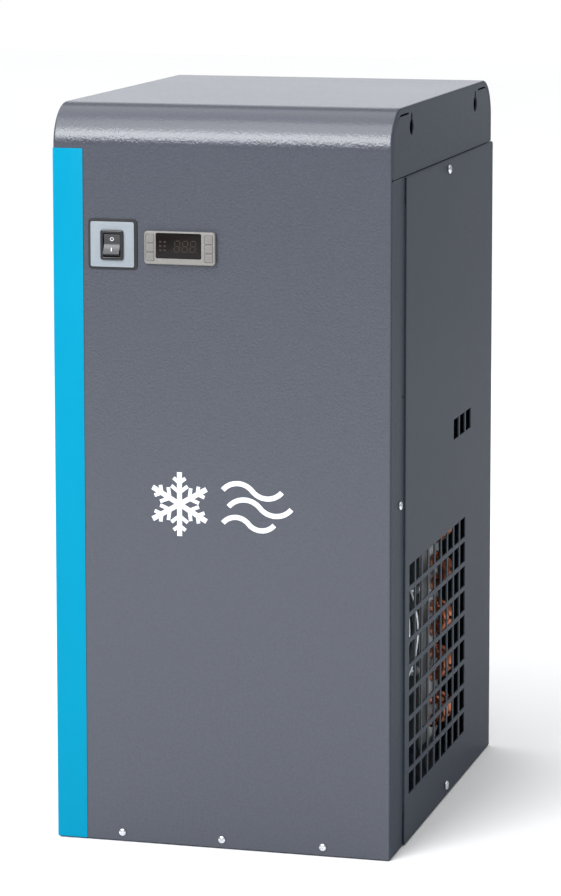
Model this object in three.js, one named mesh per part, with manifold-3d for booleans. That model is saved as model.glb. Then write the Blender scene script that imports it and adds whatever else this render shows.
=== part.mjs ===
// A refrigerated air dryer for compressed air: a tall sheet-metal cabinet that holds a hermetic
// refrigerant compressor, a fan-cooled condenser, an insulated air heat exchanger and a condensate drain.
// Millimetres. +X is the right-hand side seen from the front, -Y is the front and +Z is up.
// The origin is the middle of the base tray's underside, on the floor.
import * as THREE from "three";
import { mergeVertices } from "three/addons/utils/BufferGeometryUtils.js";
import Module from "manifold-3d";

const wasm = await Module();
wasm.setup();

// ---------------------------------------------------------------- driving dimensions

const cabinetHeight = 764;
const cabinetDepth = 480;
const coverWidth = 354; // across the front and top cover
const panelProud = 2; // a side panel stands out this far beyond the cover
const sheet = 1.5; // steel sheet of the cover and panels
const traySheet = 2;
const gap = 0.3; // between pieces that rest against each other
const floorGap = 1.5; // under the cover and panels
const coverRadius = 42; // outer radius of the two top bends
const hoodDrop = 70; // height of the cover's side cheeks
const flangeDepth = 56.5; // the front's fold along each side
const seam = 0.8; // open joint between neighbouring sheets
const lip = 7; // rim of the cheek outside the relief slit
const reliefWidth = 2; // where the slit widens into a slot under the top
const reliefReach = 31; // of that slot, beyond the end of the bend

const holeWidth = 25; // one opening of the punched grille, along the depth
const holeHeight = 22;
const grillePitchY = 30.5;
const grillePitchZ = 27.4;
const grilleCount = 9; // columns, and rows
const grilleFrontInset = 76; // from the cabinet's front to the first column
const grilleBottom = 50;

const controlDrop = 141.3; // from the top down to the middle of the switch plate
const switchInset = 63.6; // from the cover's left edge
const controllerInset = 135.5;
const rockerSwing = 12; // degrees either side of the middle

const condenserSize = 262; // the square frame's width and height
const condenserBottom = 58;
const condenserInset = 22; // from the cover's right edge to the frame
const condenserThickness = 44;
const tubeRadius = 4.75;
const tubePitch = 25.4;
const tubeColumnPitch = 22;

const shroudDepth = 48;
const guardMargin = 4; // from the guard's outer ring to the shroud's edge
const fanShift = 4; // the fan sits this far right of the condenser's middle
const bladeClearance = 17; // from the guard's radius to the blade tips
const hubRadius = 30;
const bladeCount = 5;
const bladePitch = 27; // degrees
const motorRadius = 41;
const motorLength = 45;

const compressorReachX = 98;
const compressorReachY = 66;
const compressorClearance = 12.85; // before and behind the shell
const compressorHeight = 182;
const grommetHeight = 22;

const exchangerWidth = 165;
const exchangerDepth = 160;
const exchangerTopInset = 112; // from the cabinet's top
const portRadius = 12.2; // a G 3/4 female thread's bore
const portPitch = 72;
const linePipeRadius = 4;

// ---------------------------------------------------------------- worked-out places

const halfWidth = coverWidth / 2;
const front = -cabinetDepth / 2;
const rear = cabinetDepth / 2;
const seamHeight = cabinetHeight - hoodDrop;
const panelOuter = halfWidth + panelProud;
const panelInner = panelOuter - sheet;
const panelFront = front + flangeDepth + seam;
const panelTop = seamHeight - seam;
const controlHeight = cabinetHeight - controlDrop;
const switchX = -halfWidth + switchInset;
const controllerX = -halfWidth + controllerInset;
const controllerZ = controlHeight - 1.7;
const condenserRight = halfWidth - condenserInset;
const condenserLeft = condenserRight - condenserSize;
const condenserTop = condenserBottom + condenserSize;
const fanX = (condenserLeft + condenserRight) / 2 + fanShift;
const fanZ = (condenserBottom + condenserTop) / 2;
const rearPanelOuter = rear - sheet - gap;
const rearPanelInner = rearPanelOuter - sheet;
const condenserRear = rearPanelInner - 2 * (compressorReachY + compressorClearance);
const condenserFront = condenserRear - condenserThickness;
const tubeRows = Math.floor((condenserSize - 2 * tubeRadius + 2) / tubePitch);
const guardRadius = condenserSize / 2 - guardMargin;
const bladeRadius = guardRadius - bladeClearance;
const trayHalfWidth = halfWidth - sheet - gap;
const trayFront = front + sheet + gap;
const trayRear = rearPanelInner - gap;

// ---------------------------------------------------------------- materials

const finish = (color, roughness, metalness = 0) =>
  new THREE.MeshStandardMaterial({ color, roughness, metalness });

const greyPaint = finish(0x62666f, 0.45, 0.1);
const darkPaint = finish(0x565c66, 0.45, 0.1);
const cyanVinyl = finish(0x00b0dc, 0.4);
const zincScrew = finish(0xc9ced6, 0.25, 1);
const galvanised = finish(0x9aa0a3, 0.4, 0.9);
const blackSteel = finish(0x16181a, 0.4, 0.3);
const blackPlastic = finish(0x1b1c1f, 0.45);
const greyPlastic = finish(0x9b9a97, 0.5);
const paleLabel = finish(0xb9bec8, 0.45);
const smokedLens = finish(0x15110f, 0.1);
const blackRubber = finish(0x1d1d1d, 0.85);
const copper = finish(0xb4623a, 0.3, 1);
const brass = finish(0xb69a55, 0.3, 1);
const aluminiumFin = finish(0xa9adb0, 0.4, 1);
const blackFoam = finish(0x202123, 0.95);
const redLever = finish(0xb5241c, 0.5);

// ---------------------------------------------------------------- solids

function solidOf(geometry) {
  const bare = geometry.index ? geometry.toNonIndexed() : geometry.clone();
  bare.deleteAttribute("normal");
  bare.deleteAttribute("uv");
  const merged = mergeVertices(bare, 1e-4);
  const mesh = new wasm.Mesh({
    numProp: 3,
    vertProperties: merged.attributes.position.array,
    triVerts: new Uint32Array(merged.index.array),
  });
  return new wasm.Manifold(mesh);
}

function geometryOf(solid) {
  const { vertProperties, triVerts } = solid.getMesh();
  const geometry = new THREE.BufferGeometry();
  geometry.setAttribute("position", new THREE.BufferAttribute(vertProperties, 3));
  geometry.setIndex(new THREE.BufferAttribute(triVerts, 1));
  geometry.computeVertexNormals();
  return geometry;
}

const join = (first, ...others) => others.reduce((whole, other) => whole.add(other), first);
const cut = (first, ...others) => others.reduce((whole, other) => whole.subtract(other), first);

// The same solid, moved, turned or mirrored.
function transformed(solid, matrix) {
  const geometry = geometryOf(solid).applyMatrix4(matrix);
  if (matrix.determinant() < 0) geometry.index.array.reverse();
  return solidOf(geometry);
}

const shifted = (solid, x, y, z) => transformed(solid, new THREE.Matrix4().makeTranslation(x, y, z));
const scaled = (solid, x, y, z) => transformed(solid, new THREE.Matrix4().makeScale(x, y, z));
const turnedAboutX = (solid, degrees) =>
  transformed(solid, new THREE.Matrix4().makeRotationX(THREE.MathUtils.degToRad(degrees)));
const turnedAboutY = (solid, degrees) =>
  transformed(solid, new THREE.Matrix4().makeRotationY(THREE.MathUtils.degToRad(degrees)));

function piece(name, solid, material) {
  const mesh = new THREE.Mesh(geometryOf(solid), material);
  mesh.name = name;
  return mesh;
}

function block(x0, x1, y0, y1, z0, z1) {
  const box = new THREE.BoxGeometry(x1 - x0, y1 - y0, z1 - z0);
  return solidOf(box.translate((x0 + x1) / 2, (y0 + y1) / 2, (z0 + z1) / 2));
}

// A box about a point, given its three widths.
const brick = (x, y, z, wide, deep, tall) =>
  block(x - wide / 2, x + wide / 2, y - deep / 2, y + deep / 2, z - tall / 2, z + tall / 2);

// A round bar along x, y or z, from one end to the other, through the other two coordinates.
function bar(axis, from, to, a, b, radius, sides = 12) {
  const cylinder = new THREE.CylinderGeometry(radius, radius, to - from, sides);
  const middle = (from + to) / 2;
  if (axis === "x") return solidOf(cylinder.rotateZ(-Math.PI / 2).translate(middle, a, b));
  if (axis === "y") return solidOf(cylinder.translate(a, middle, b));
  return solidOf(cylinder.rotateX(Math.PI / 2).translate(a, b, middle));
}

// A turned piece about +Z: the profile is [radius, height] pairs that start and end on the axis.
function turned(profile, sides) {
  const points = profile.map(([radius, height]) => new THREE.Vector2(radius, height));
  return solidOf(new THREE.LatheGeometry(points, sides).rotateX(Math.PI / 2));
}

function extruded(shape, length, curveSegments) {
  return new THREE.ExtrudeGeometry(shape, { depth: length, bevelEnabled: false, curveSegments });
}

// An (x, z) outline with its back on a plane, standing forward from it by its thickness.
const facingFront = (shape, thickness, backY, curveSegments = 3) =>
  solidOf(extruded(shape, thickness, curveSegments).rotateX(Math.PI / 2).translate(0, backY, 0));

// An (x, y) outline that stands between two heights.
function upright(corners, bottom, top) {
  const shape = new THREE.Shape(corners.map(([x, y]) => new THREE.Vector2(x, y)));
  return solidOf(extruded(shape, top - bottom, 1).translate(0, 0, bottom));
}

// A (y, z) outline that runs along +X from one place for a length.
function alongX(shape, fromX, length, curveSegments = 4) {
  const turn = new THREE.Matrix4().makeBasis(
    new THREE.Vector3(0, 1, 0),
    new THREE.Vector3(0, 0, 1),
    new THREE.Vector3(1, 0, 0),
  );
  return solidOf(extruded(shape, length, curveSegments).applyMatrix4(turn).translate(fromX, 0, 0));
}

// The rectangle with round corners about (u, v).
function roundedRectangle(u, v, width, height, radius, target = new THREE.Shape()) {
  const right = u + width / 2 - radius;
  const left = u - width / 2 + radius;
  const top = v + height / 2 - radius;
  const bottom = v - height / 2 + radius;
  target.absarc(right, bottom, radius, -Math.PI / 2, 0, false);
  target.absarc(right, top, radius, 0, Math.PI / 2, false);
  target.absarc(left, top, radius, Math.PI / 2, Math.PI, false);
  target.absarc(left, bottom, radius, Math.PI, 1.5 * Math.PI, false);
  target.closePath();
  return target;
}

function rectangle(u0, u1, v0, v1, target = new THREE.Shape()) {
  target.moveTo(u0, v0);
  target.lineTo(u1, v0);
  target.lineTo(u1, v1);
  target.lineTo(u0, v1);
  target.closePath();
  return target;
}

// ---------------------------------------------------------------- bent tubes

// The points of a tube that runs through its corners, each rounded to the bend radius.
function bentRoute(corners, bendRadius, bendSteps) {
  const route = [corners[0].clone()];
  for (let i = 1; i < corners.length - 1; i += 1) {
    const into = corners[i].clone().sub(corners[i - 1]).normalize();
    const out = corners[i + 1].clone().sub(corners[i]).normalize();
    const turn = into.angleTo(out);
    const setback = bendRadius * Math.tan(turn / 2);
    const start = corners[i].clone().addScaledVector(into, -setback);
    const inward = out.clone().addScaledVector(into, -into.dot(out)).normalize();
    for (let step = 0; step <= bendSteps; step += 1) {
      const angle = (turn * step) / bendSteps;
      const point = start.clone();
      point.addScaledVector(into, bendRadius * Math.sin(angle));
      point.addScaledVector(inward, bendRadius * (1 - Math.cos(angle)));
      if (point.distanceTo(route.at(-1)) > 0.01) route.push(point);
    }
  }
  route.push(corners.at(-1).clone());
  return route;
}

// A path through given points, whose section turns as little as it can from one to the next.
class Route extends THREE.Curve {
  constructor(points) {
    super();
    this.points = points;
  }

  getSpacedPoints() {
    return this.points;
  }

  computeFrenetFrames() {
    const { points } = this;
    const tangents = points.map((point, i) => {
      const before = points[Math.max(i - 1, 0)];
      const after = points[Math.min(i + 1, points.length - 1)];
      return after.clone().sub(before).normalize();
    });
    const start = Math.abs(tangents[0].z) < 0.9 ? new THREE.Vector3(0, 0, 1) : new THREE.Vector3(1, 0, 0);
    const normals = [];
    for (const tangent of tangents) {
      const last = normals.at(-1) ?? start;
      normals.push(last.clone().addScaledVector(tangent, -last.dot(tangent)).normalize());
    }
    const binormals = tangents.map((tangent, i) => tangent.clone().cross(normals[i]));
    return { tangents, normals, binormals };
  }
}

function pipe(points, radius, sides) {
  const section = new THREE.Shape();
  for (let i = 0; i < sides; i += 1) {
    const angle = (2 * Math.PI * i) / sides;
    const [u, v] = [radius * Math.cos(angle), radius * Math.sin(angle)];
    if (i) section.lineTo(u, v);
    else section.moveTo(u, v);
  }
  section.closePath();
  const settings = { steps: points.length - 1, extrudePath: new Route(points), bevelEnabled: false };
  return solidOf(new THREE.ExtrudeGeometry(section, settings));
}

const at = (x, y, z) => new THREE.Vector3(x, y, z);

// ---------------------------------------------------------------- front and top cover

const switchCutout = { width: 21, height: 28 };
const controllerCutout = { width: 71, height: 29 };
const screwHole = 2.6;
const frontScrewX = [-107, 0, 107];
const frontScrewZ = 10;
const panelScrewY = 12; // the two screws in the middle of each side panel
const panelScrewZ = [13.5, panelTop - 10.5];
const flangeScrew = { y: front + 39, z: 360 };
const keyholeY = rear - 86.5;

function coverProfile() {
  const shape = new THREE.Shape();
  const bendZ = cabinetHeight - coverRadius;
  const inner = coverRadius - sheet;
  shape.moveTo(front, floorGap);
  shape.lineTo(front, bendZ);
  shape.absarc(front + coverRadius, bendZ, coverRadius, Math.PI, Math.PI / 2, true);
  shape.absarc(rear - coverRadius, bendZ, coverRadius, Math.PI / 2, 0, true);
  shape.lineTo(rear, seamHeight);
  shape.lineTo(rear - sheet, seamHeight);
  shape.absarc(rear - coverRadius, bendZ, inner, 0, Math.PI / 2, false);
  shape.absarc(front + coverRadius, bendZ, inner, Math.PI / 2, Math.PI, false);
  shape.lineTo(front + sheet, floorGap);
  shape.closePath();
  return shape;
}

// One side of the cover: the cheek under the top and the flange behind the front, joined only along
// the front's thickness, with the open seam between them.
function cheekAndFlangeProfile() {
  const shape = new THREE.Shape();
  const bendZ = cabinetHeight - coverRadius;
  const flangeEnd = front + flangeDepth;
  shape.moveTo(front, floorGap);
  shape.lineTo(front, bendZ);
  shape.absarc(front + coverRadius, bendZ, coverRadius, Math.PI, Math.PI / 2, true);
  shape.absarc(rear - coverRadius, bendZ, coverRadius, Math.PI / 2, 0, true);
  shape.lineTo(rear, seamHeight);
  shape.lineTo(front + sheet, seamHeight);
  shape.lineTo(front + sheet, seamHeight - seam);
  shape.lineTo(flangeEnd, seamHeight - seam);
  shape.lineTo(flangeEnd, floorGap);
  shape.closePath();
  return shape;
}

// The slit that frees one top bend from the cheek: a slot under the top that narrows round the bend and
// runs down to the seam.
function reliefSlit() {
  const bendZ = cabinetHeight - coverRadius;
  const bendY = front + coverRadius;
  const outer = coverRadius - lip;
  const inner = outer - seam;
  const slotStart = bendY - 7;
  const slotEnd = bendY + reliefReach;
  const slotFloor = bendZ + outer - reliefWidth;
  const narrowing = Math.acos((slotStart - bendY) / inner);
  const shape = new THREE.Shape();
  shape.moveTo(slotEnd, slotFloor);
  shape.lineTo(slotEnd, bendZ + outer);
  shape.absarc(bendY, bendZ, outer, Math.PI / 2, Math.PI, false);
  shape.lineTo(bendY - outer, seamHeight - seam / 2);
  shape.lineTo(bendY - inner, seamHeight - seam / 2);
  shape.lineTo(bendY - inner, bendZ);
  shape.absarc(bendY, bendZ, inner, Math.PI, narrowing, true);
  shape.lineTo(slotStart, slotFloor);
  shape.closePath();
  return shape;
}

// Keyhole: a round mouth below a narrow slot.
function keyhole(y) {
  const mouth = 8.5;
  const slot = 3.5;
  const mouthZ = cabinetHeight - 22.5;
  const slotTop = cabinetHeight - 8;
  const start = Math.asin(slot / mouth);
  const shape = new THREE.Shape();
  shape.absarc(y, mouthZ, mouth, Math.PI / 2 + start, Math.PI / 2 - start, false);
  shape.absarc(y, slotTop - slot, slot, 0, Math.PI, false);
  shape.closePath();
  return shape;
}

function frontTopCover() {
  let cover = alongX(coverProfile(), -halfWidth + sheet / 2, coverWidth - sheet);
  for (const side of [-1, 1]) {
    const inside = side > 0 ? halfWidth - sheet : -halfWidth;
    const throughX = inside - 1;
    const through = sheet + 2;
    cover = join(cover, alongX(cheekAndFlangeProfile(), inside, sheet));
    cover = cut(
      cover,
      alongX(reliefSlit(), throughX, through),
      scaled(alongX(reliefSlit(), throughX, through), 1, -1, 1),
      alongX(keyhole(-keyholeY), throughX, through),
      alongX(keyhole(keyholeY), throughX, through),
      bar("x", throughX, throughX + through, front + 3.4, seamHeight, 1.6, 8),
      bar("x", throughX, throughX + through, flangeScrew.y, flangeScrew.z, screwHole, 10),
      bar("x", throughX, throughX + through, front + 50, cabinetHeight - 294, 2.2, 8),
    );
  }
  const depth = [front - 1, front + sheet + 1];
  const square = (x, z, { width, height }) =>
    block(x - width / 2, x + width / 2, ...depth, z - height / 2, z + height / 2);
  cover = cut(cover, square(switchX, rockerZ, switchCutout));
  cover = cut(cover, square(controllerX, controllerZ, controllerCutout));
  for (const x of frontScrewX) cover = cut(cover, bar("y", ...depth, x, frontScrewZ, screwHole, 10));
  return piece("front_top_cover", cover, greyPaint);
}

function accentStrip() {
  const width = 31.8;
  const top = cabinetHeight - 44.5;
  const strip = rectangle(-halfWidth, -halfWidth + width, floorGap, top);
  return piece("accent_strip", facingFront(strip, 0.4, front - gap), cyanVinyl);
}

// ---------------------------------------------------------------- side, rear and base sheets

function grilleHoles() {
  const hole = (y, z) =>
    block(panelInner - 1, panelOuter + 1, y, y + holeWidth, z, z + holeHeight);
  const holes = [];
  for (let column = 0; column < grilleCount; column += 1) {
    for (let row = 0; row < grilleCount; row += 1) {
      const y = front + grilleFrontInset + column * grillePitchY;
      holes.push(hole(y, grilleBottom + row * grillePitchZ));
    }
  }
  const ventY = front + grilleFrontInset + 6.83 * grillePitchY;
  const ventZ = grilleBottom + (grilleCount + 3.28) * grillePitchZ;
  for (let column = 0; column < 3; column += 1) holes.push(hole(ventY + column * grillePitchY, ventZ));
  return join(...holes);
}

// The right-hand panel: a punched plate, folded inwards at the rear and the top. A lap of sheet steps
// in from its front edge and reaches behind the cover's flange.
function sidePanel() {
  const foldIn = 12;
  const rearWrap = 22;
  const lapReach = 26;
  const overlap = 0.5;
  const lapInner = halfWidth - 2 * sheet - gap;
  const plateOutline = [
    [panelOuter, panelFront],
    [panelOuter, rear + sheet],
    [panelOuter - rearWrap, rear + sheet],
    [panelOuter - rearWrap, rear],
    [panelInner, rear],
    [panelInner, panelFront],
  ];
  const lapOutline = [
    [panelInner + overlap, panelFront],
    [panelInner + overlap, panelFront + sheet],
    [lapInner, panelFront + sheet],
    [lapInner, panelFront - lapReach],
    [lapInner + sheet, panelFront - lapReach],
    [lapInner + sheet, panelFront],
  ];
  const foldEnds = [panelFront + 6, rear - 6];
  const topFold = block(panelOuter - foldIn, panelInner + overlap, ...foldEnds, panelTop - sheet, panelTop);
  const notch = block(panelInner - 1, panelOuter + 1, rear - 4.5, rear - 1.5, panelTop - 9, panelTop - 2.5);
  const plate = cut(upright(plateOutline, floorGap, panelTop), grilleHoles(), notch);
  let panel = join(plate, topFold, upright(lapOutline, 40, panelTop - 30));
  for (const z of panelScrewZ) {
    panel = cut(panel, bar("x", panelInner - 1, panelOuter + 1, panelScrewY, z, screwHole, 10));
  }
  const lapHole = bar("x", lapInner - 1, lapInner + sheet + 1, flangeScrew.y, flangeScrew.z, screwHole, 10);
  return cut(panel, lapHole);
}

const gland = { x: 112, z: 330, radius: 10 };
const drainOutlet = { x: -128, z: 92, radius: 7 };
const portZ = cabinetHeight - exchangerTopInset - 42;
const portX = [-135, -135 + portPitch];
const portSleeve = 20;

function rearPanel() {
  const side = panelOuter - 22 + 14; // tucked in behind the side panels' rear folds
  const depth = [rearPanelInner - 1, rearPanelOuter + 1];
  const round = (x, z, radius) => bar("y", ...depth, x, z, radius, 20);
  const holes = [
    round(portX[0], portZ, portSleeve + 2),
    round(portX[1], portZ, portSleeve + 2),
    round(gland.x, gland.z, gland.radius + 0.8),
    round(drainOutlet.x, drainOutlet.z, drainOutlet.radius + 0.8),
  ];
  const columns = 5;
  const ventPitch = 32;
  for (let column = 0; column < columns; column += 1) {
    for (let row = 0; row < 7; row += 1) {
      const x = -62 + column * ventPitch;
      const z = grilleBottom + row * grillePitchZ;
      holes.push(block(x, x + holeWidth, ...depth, z, z + holeHeight));
    }
  }
  const plate = block(-side, side, rearPanelInner, rearPanelOuter, traySheet + 3, panelTop - 2);
  return piece("rear_panel", cut(plate, join(...holes)), darkPaint);
}

function baseTray() {
  const rim = 30;
  const shell = block(-trayHalfWidth, trayHalfWidth, trayFront, trayRear, 0, rim);
  const inside = block(
    -trayHalfWidth + traySheet,
    trayHalfWidth - traySheet,
    trayFront + traySheet,
    trayRear - traySheet,
    traySheet,
    rim + 1,
  );
  let tray = cut(shell, inside);
  for (const x of frontScrewX) {
    tray = cut(tray, bar("y", trayFront - 1, trayFront + traySheet + 1, x, frontScrewZ, screwHole, 10));
  }
  for (const side of [-1, 1]) {
    const x = side * (trayHalfWidth - traySheet / 2);
    tray = cut(tray, bar("x", x - 2, x + 2, panelScrewY, panelScrewZ[0], screwHole, 10));
  }
  return piece("base_tray", tray, darkPaint);
}

const bulkheadFront = condenserFront - 13;
const bulkheadTop = cabinetHeight - 96;
const bulkheadLeft = -halfWidth + 14;
const bulkheadRight = halfWidth - 30;

// The upright plate that carries the heat exchanger behind it and the electrical box before it.
function innerBulkhead() {
  const foot = condenserTop + gap;
  const back = bulkheadFront + sheet;
  const plate = join(
    block(bulkheadLeft, bulkheadRight, bulkheadFront, back, foot, bulkheadTop),
    block(bulkheadLeft, bulkheadRight, bulkheadFront, condenserRear - 4, foot, foot + sheet),
    block(bulkheadLeft, bulkheadLeft + sheet, bulkheadFront, back + 18, foot, bulkheadTop),
    block(bulkheadRight - sheet, bulkheadRight, bulkheadFront, back + 18, foot, bulkheadTop),
    block(bulkheadLeft, bulkheadRight, bulkheadFront, back + 18, bulkheadTop - sheet, bulkheadTop),
  );
  const windowHeights = [foot + 60, bulkheadTop - 60];
  const window = block(bulkheadRight - 90, bulkheadRight - 20, bulkheadFront - 1, back + 1, ...windowHeights);
  const linePass = brick(bulkheadLeft + 32, bulkheadFront + 20, foot, 44, 60, 8);
  return piece("inner_bulkhead", cut(plate, window, linePass), galvanised);
}

// ---------------------------------------------------------------- fasteners

// A low round-headed screw about +Z, its head's underside at zero.
function screw(headRadius, headHeight, shankRadius, shankLength) {
  return turned(
    [
      [0, -shankLength],
      [shankRadius, -shankLength],
      [shankRadius, 0],
      [headRadius, 0],
      [headRadius, headHeight * 0.35],
      [headRadius * 0.72, headHeight * 0.85],
      [0, headHeight],
    ],
    10,
  );
}

function placedScrew(name, solid, position, turn) {
  const mesh = piece(name, solid, zincScrew);
  mesh.position.copy(position);
  mesh.rotation.set(...turn);
  return mesh;
}

function frontScrews() {
  const solid = screw(3.8, 2.4, 2, 7);
  const names = ["left", "middle", "right"];
  return frontScrewX.map((x, i) =>
    placedScrew(`front_screw_${names[i]}`, solid, at(x, front - gap, frontScrewZ), [Math.PI / 2, 0, 0]),
  );
}

function sideScrews(side) {
  const label = side > 0 ? "right" : "left";
  const turn = [0, (side * Math.PI) / 2, 0];
  const large = screw(4.8, 3, 2.1, 8);
  const small = screw(4.4, 2.6, 2, 7);
  const panelFace = side * (panelOuter + gap);
  const flangeFace = side * (halfWidth + gap);
  return [
    placedScrew(`${label}_panel_screw_bottom`, large, at(panelFace, panelScrewY, panelScrewZ[0]), turn),
    placedScrew(`${label}_panel_screw_top`, large, at(panelFace, panelScrewY, panelScrewZ[1]), turn),
    placedScrew(`${label}_flange_screw`, small, at(flangeFace, flangeScrew.y, flangeScrew.z), turn),
  ];
}

// ---------------------------------------------------------------- mains switch

const gasketThickness = 1;
const plateThickness = 1.2;
const bezelThickness = 2.2;
const plateBack = front - gap - gasketThickness - gap;
const bezelBack = plateBack - plateThickness - gap;
const bezelFront = bezelBack - bezelThickness;
const rockerRadius = 11.6;
const rockerWidth = 17.6;
const rockerOpening = { width: rockerWidth + 0.8, height: 2 * rockerRadius + 0.9 };
const rockerPivotY = bezelFront + 5;
const rockerZ = controlHeight - 0.7;

function plateWithHole(width, height, radius, thickness, backY, z) {
  const shape = roundedRectangle(switchX, z, width, height, radius);
  const { width: holeX, height: holeZ } = switchCutout;
  const [x0, x1] = [switchX - holeX / 2, switchX + holeX / 2];
  const [z0, z1] = [rockerZ - holeZ / 2, rockerZ + holeZ / 2];
  shape.holes.push(rectangle(x0, x1, z0, z1, new THREE.Path()));
  return facingFront(shape, thickness, backY, 2);
}

function mainsSwitch() {
  const group = new THREE.Group();
  const gasket = plateWithHole(52, 51.6, 4, gasketThickness, front - gap, controlHeight);
  const plate = plateWithHole(46.2, 46.2, 2, plateThickness, plateBack, controlHeight);
  const bezelShape = roundedRectangle(switchX, rockerZ, 24.5, 30.8, 2);
  const housing = block(
    switchX - switchCutout.width / 2 + 0.5,
    switchX + switchCutout.width / 2 - 0.5,
    bezelBack - 1,
    front + 30,
    rockerZ - switchCutout.height / 2 + 0.5,
    rockerZ + switchCutout.height / 2 - 0.5,
  );
  const well = block(
    switchX - rockerOpening.width / 2,
    switchX + rockerOpening.width / 2,
    bezelFront - 1,
    front + 20,
    rockerZ - rockerOpening.height / 2,
    rockerZ + rockerOpening.height / 2,
  );
  const body = cut(join(facingFront(bezelShape, bezelThickness, bezelBack, 2), housing), well);
  group.add(piece("switch_gasket", gasket, blackRubber));
  group.add(piece("switch_plate", plate, paleLabel));
  group.add(piece("switch_body", body, blackPlastic));
  group.add(rocker());
  return group;
}

// The rocker at rest, with its upper half pressed in. Its ends are arcs about the pivot.
function rocker() {
  const edge = (58 * Math.PI) / 180; // from the rocker's middle line to either outer edge
  const back = (112 * Math.PI) / 180;
  const valley = 3.4; // from the pivot to the shallow V in its face
  const arc = (from, to, steps) =>
    Array.from({ length: steps + 1 }, (_, i) => {
      const angle = from + ((to - from) * i) / steps;
      return new THREE.Vector2(-rockerRadius * Math.cos(angle), rockerRadius * Math.sin(angle));
    });
  const points = [...arc(edge, back, 4), ...arc(-back, -edge, 4), new THREE.Vector2(-valley, 0)];
  const solid = alongX(new THREE.Shape(points), -rockerWidth / 2, rockerWidth);
  const mesh = piece("switch_rocker", solid, blackPlastic);
  mesh.position.set(switchX, rockerPivotY, rockerZ);
  mesh.rotation.x = (-rockerSwing * Math.PI) / 180;
  return mesh;
}

// ---------------------------------------------------------------- electronic controller

const frameSize = { width: 74.5, height: 33.5, depth: 5 };
const frameBack = front - gap;
const frameFront = frameBack - frameSize.depth;
const lensSize = { width: 47.6, height: 25.6 };
const lensX = controllerX - 1.1;
const lensZ = controllerZ + 2.2;
const keySize = { width: 8.8, height: 8.4, depth: 3 };
const keyPitch = 9.3;
const keyClearance = 0.3;

function keyPlaces() {
  const rows = ["top", "middle", "bottom"];
  const columns = { left: controllerX - 31.2, right: controllerX + 30.6 };
  return Object.entries(columns).flatMap(([column, x]) =>
    rows.map((row, i) => ({ name: `key_${column}_${row}`, x, z: controllerZ + (1 - i) * keyPitch })),
  );
}

function controllerFrame() {
  const { width, height, depth } = frameSize;
  const shape = roundedRectangle(controllerX, controllerZ, width, height, 3);
  const hole = (x, z, w, h, r) => shape.holes.push(roundedRectangle(x, z, w, h, r, new THREE.Path()));
  hole(lensX, lensZ, lensSize.width + 2 * gap, lensSize.height + 2 * gap, 1.5);
  for (const { x, z } of keyPlaces()) {
    hole(x, z, keySize.width + 2 * keyClearance, keySize.height + 2 * keyClearance, 1);
  }
  return piece("controller_frame", facingFront(shape, depth, frameBack, 2), greyPlastic);
}

function controller() {
  const group = new THREE.Group();
  group.add(controllerFrame());
  const lens = roundedRectangle(lensX, lensZ, lensSize.width, lensSize.height, 1.2);
  group.add(piece("controller_lens", facingFront(lens, 1.8, frameFront + 2.4, 2), smokedLens));
  for (const { name, x, z } of keyPlaces()) {
    const outline = roundedRectangle(0, 0, keySize.width, keySize.height, 0.9);
    const key = piece(name, facingFront(outline, keySize.depth, 0, 2), greyPlastic);
    key.position.set(x, frameFront + keySize.depth - 0.4, z);
    group.add(key);
  }
  const { width, height } = controllerCutout;
  const housing = brick(controllerX, front + 31, controllerZ, width - 1, 60, height - 1);
  const terminals = brick(controllerX, front + 64, controllerZ, width - 8, 8, height - 9);
  group.add(piece("controller_housing", join(housing, terminals), blackPlastic));
  return group;
}

// ---------------------------------------------------------------- electrical box

function electricalBox() {
  const [x0, x1] = [switchX - 32, controllerX + 42];
  const [y0, y1] = [bulkheadFront - gap - 62, bulkheadFront - gap];
  const [z0, z1] = [controlHeight - 108.7, controlHeight + 36.3];
  const shell = cut(
    block(x0, x1, y0, y1, z0, z1),
    block(x0 + sheet, x1 - sheet, y0 - 1, y1 - sheet, z0 + sheet, z1 - sheet),
  );
  const rail = brick((x0 + x1) / 2, y1 - sheet - 3, (z0 + z1) / 2, x1 - x0 - 20, 7.5, 35);
  const terminals = brick((x0 + x1) / 2 + 20, y1 - 26, (z0 + z1) / 2, 62, 44, 46);
  const contactor = brick(x0 + 34, y1 - 28, (z0 + z1) / 2, 45, 48, 68);
  return piece("electrical_box", join(shell, rail, terminals, contactor), galvanised);
}

// ---------------------------------------------------------------- condenser

const tubeHoleRadius = 5.6;
const tubeColumnY = [
  condenserFront + condenserThickness / 2 - tubeColumnPitch / 2,
  condenserFront + condenserThickness / 2 + tubeColumnPitch / 2,
];
const tubeRowZ = (row) => fanZ + (row - (tubeRows - 1) / 2) * tubePitch;
const coilEnd = tubePitch / 2 + 1; // from an end plate to the turn's outer middle line

function tubeHoles(fromX, length) {
  const holes = [];
  for (const y of tubeColumnY) {
    for (let row = 0; row < tubeRows; row += 1) {
      holes.push(bar("x", fromX, fromX + length, y, tubeRowZ(row), tubeHoleRadius, 6));
    }
  }
  return join(...holes);
}

function condenserFrame() {
  const [y0, y1] = [condenserFront, condenserRear];
  const outer = block(condenserLeft, condenserRight, y0, y1, condenserBottom, condenserTop);
  const inner = block(
    condenserLeft + sheet,
    condenserRight - sheet,
    condenserFront - 1,
    condenserRear + 1,
    condenserBottom + sheet,
    condenserTop - sheet,
  );
  const legs = [condenserLeft + 12, condenserRight - 12].map((x) =>
    block(x - 10, x + 10, condenserFront, condenserRear, traySheet + gap, condenserBottom + sheet),
  );
  const frame = join(cut(outer, inner), ...legs);
  return piece("condenser_frame", cut(frame, tubeHoles(condenserLeft - 1, condenserSize + 2)), galvanised);
}

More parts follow.
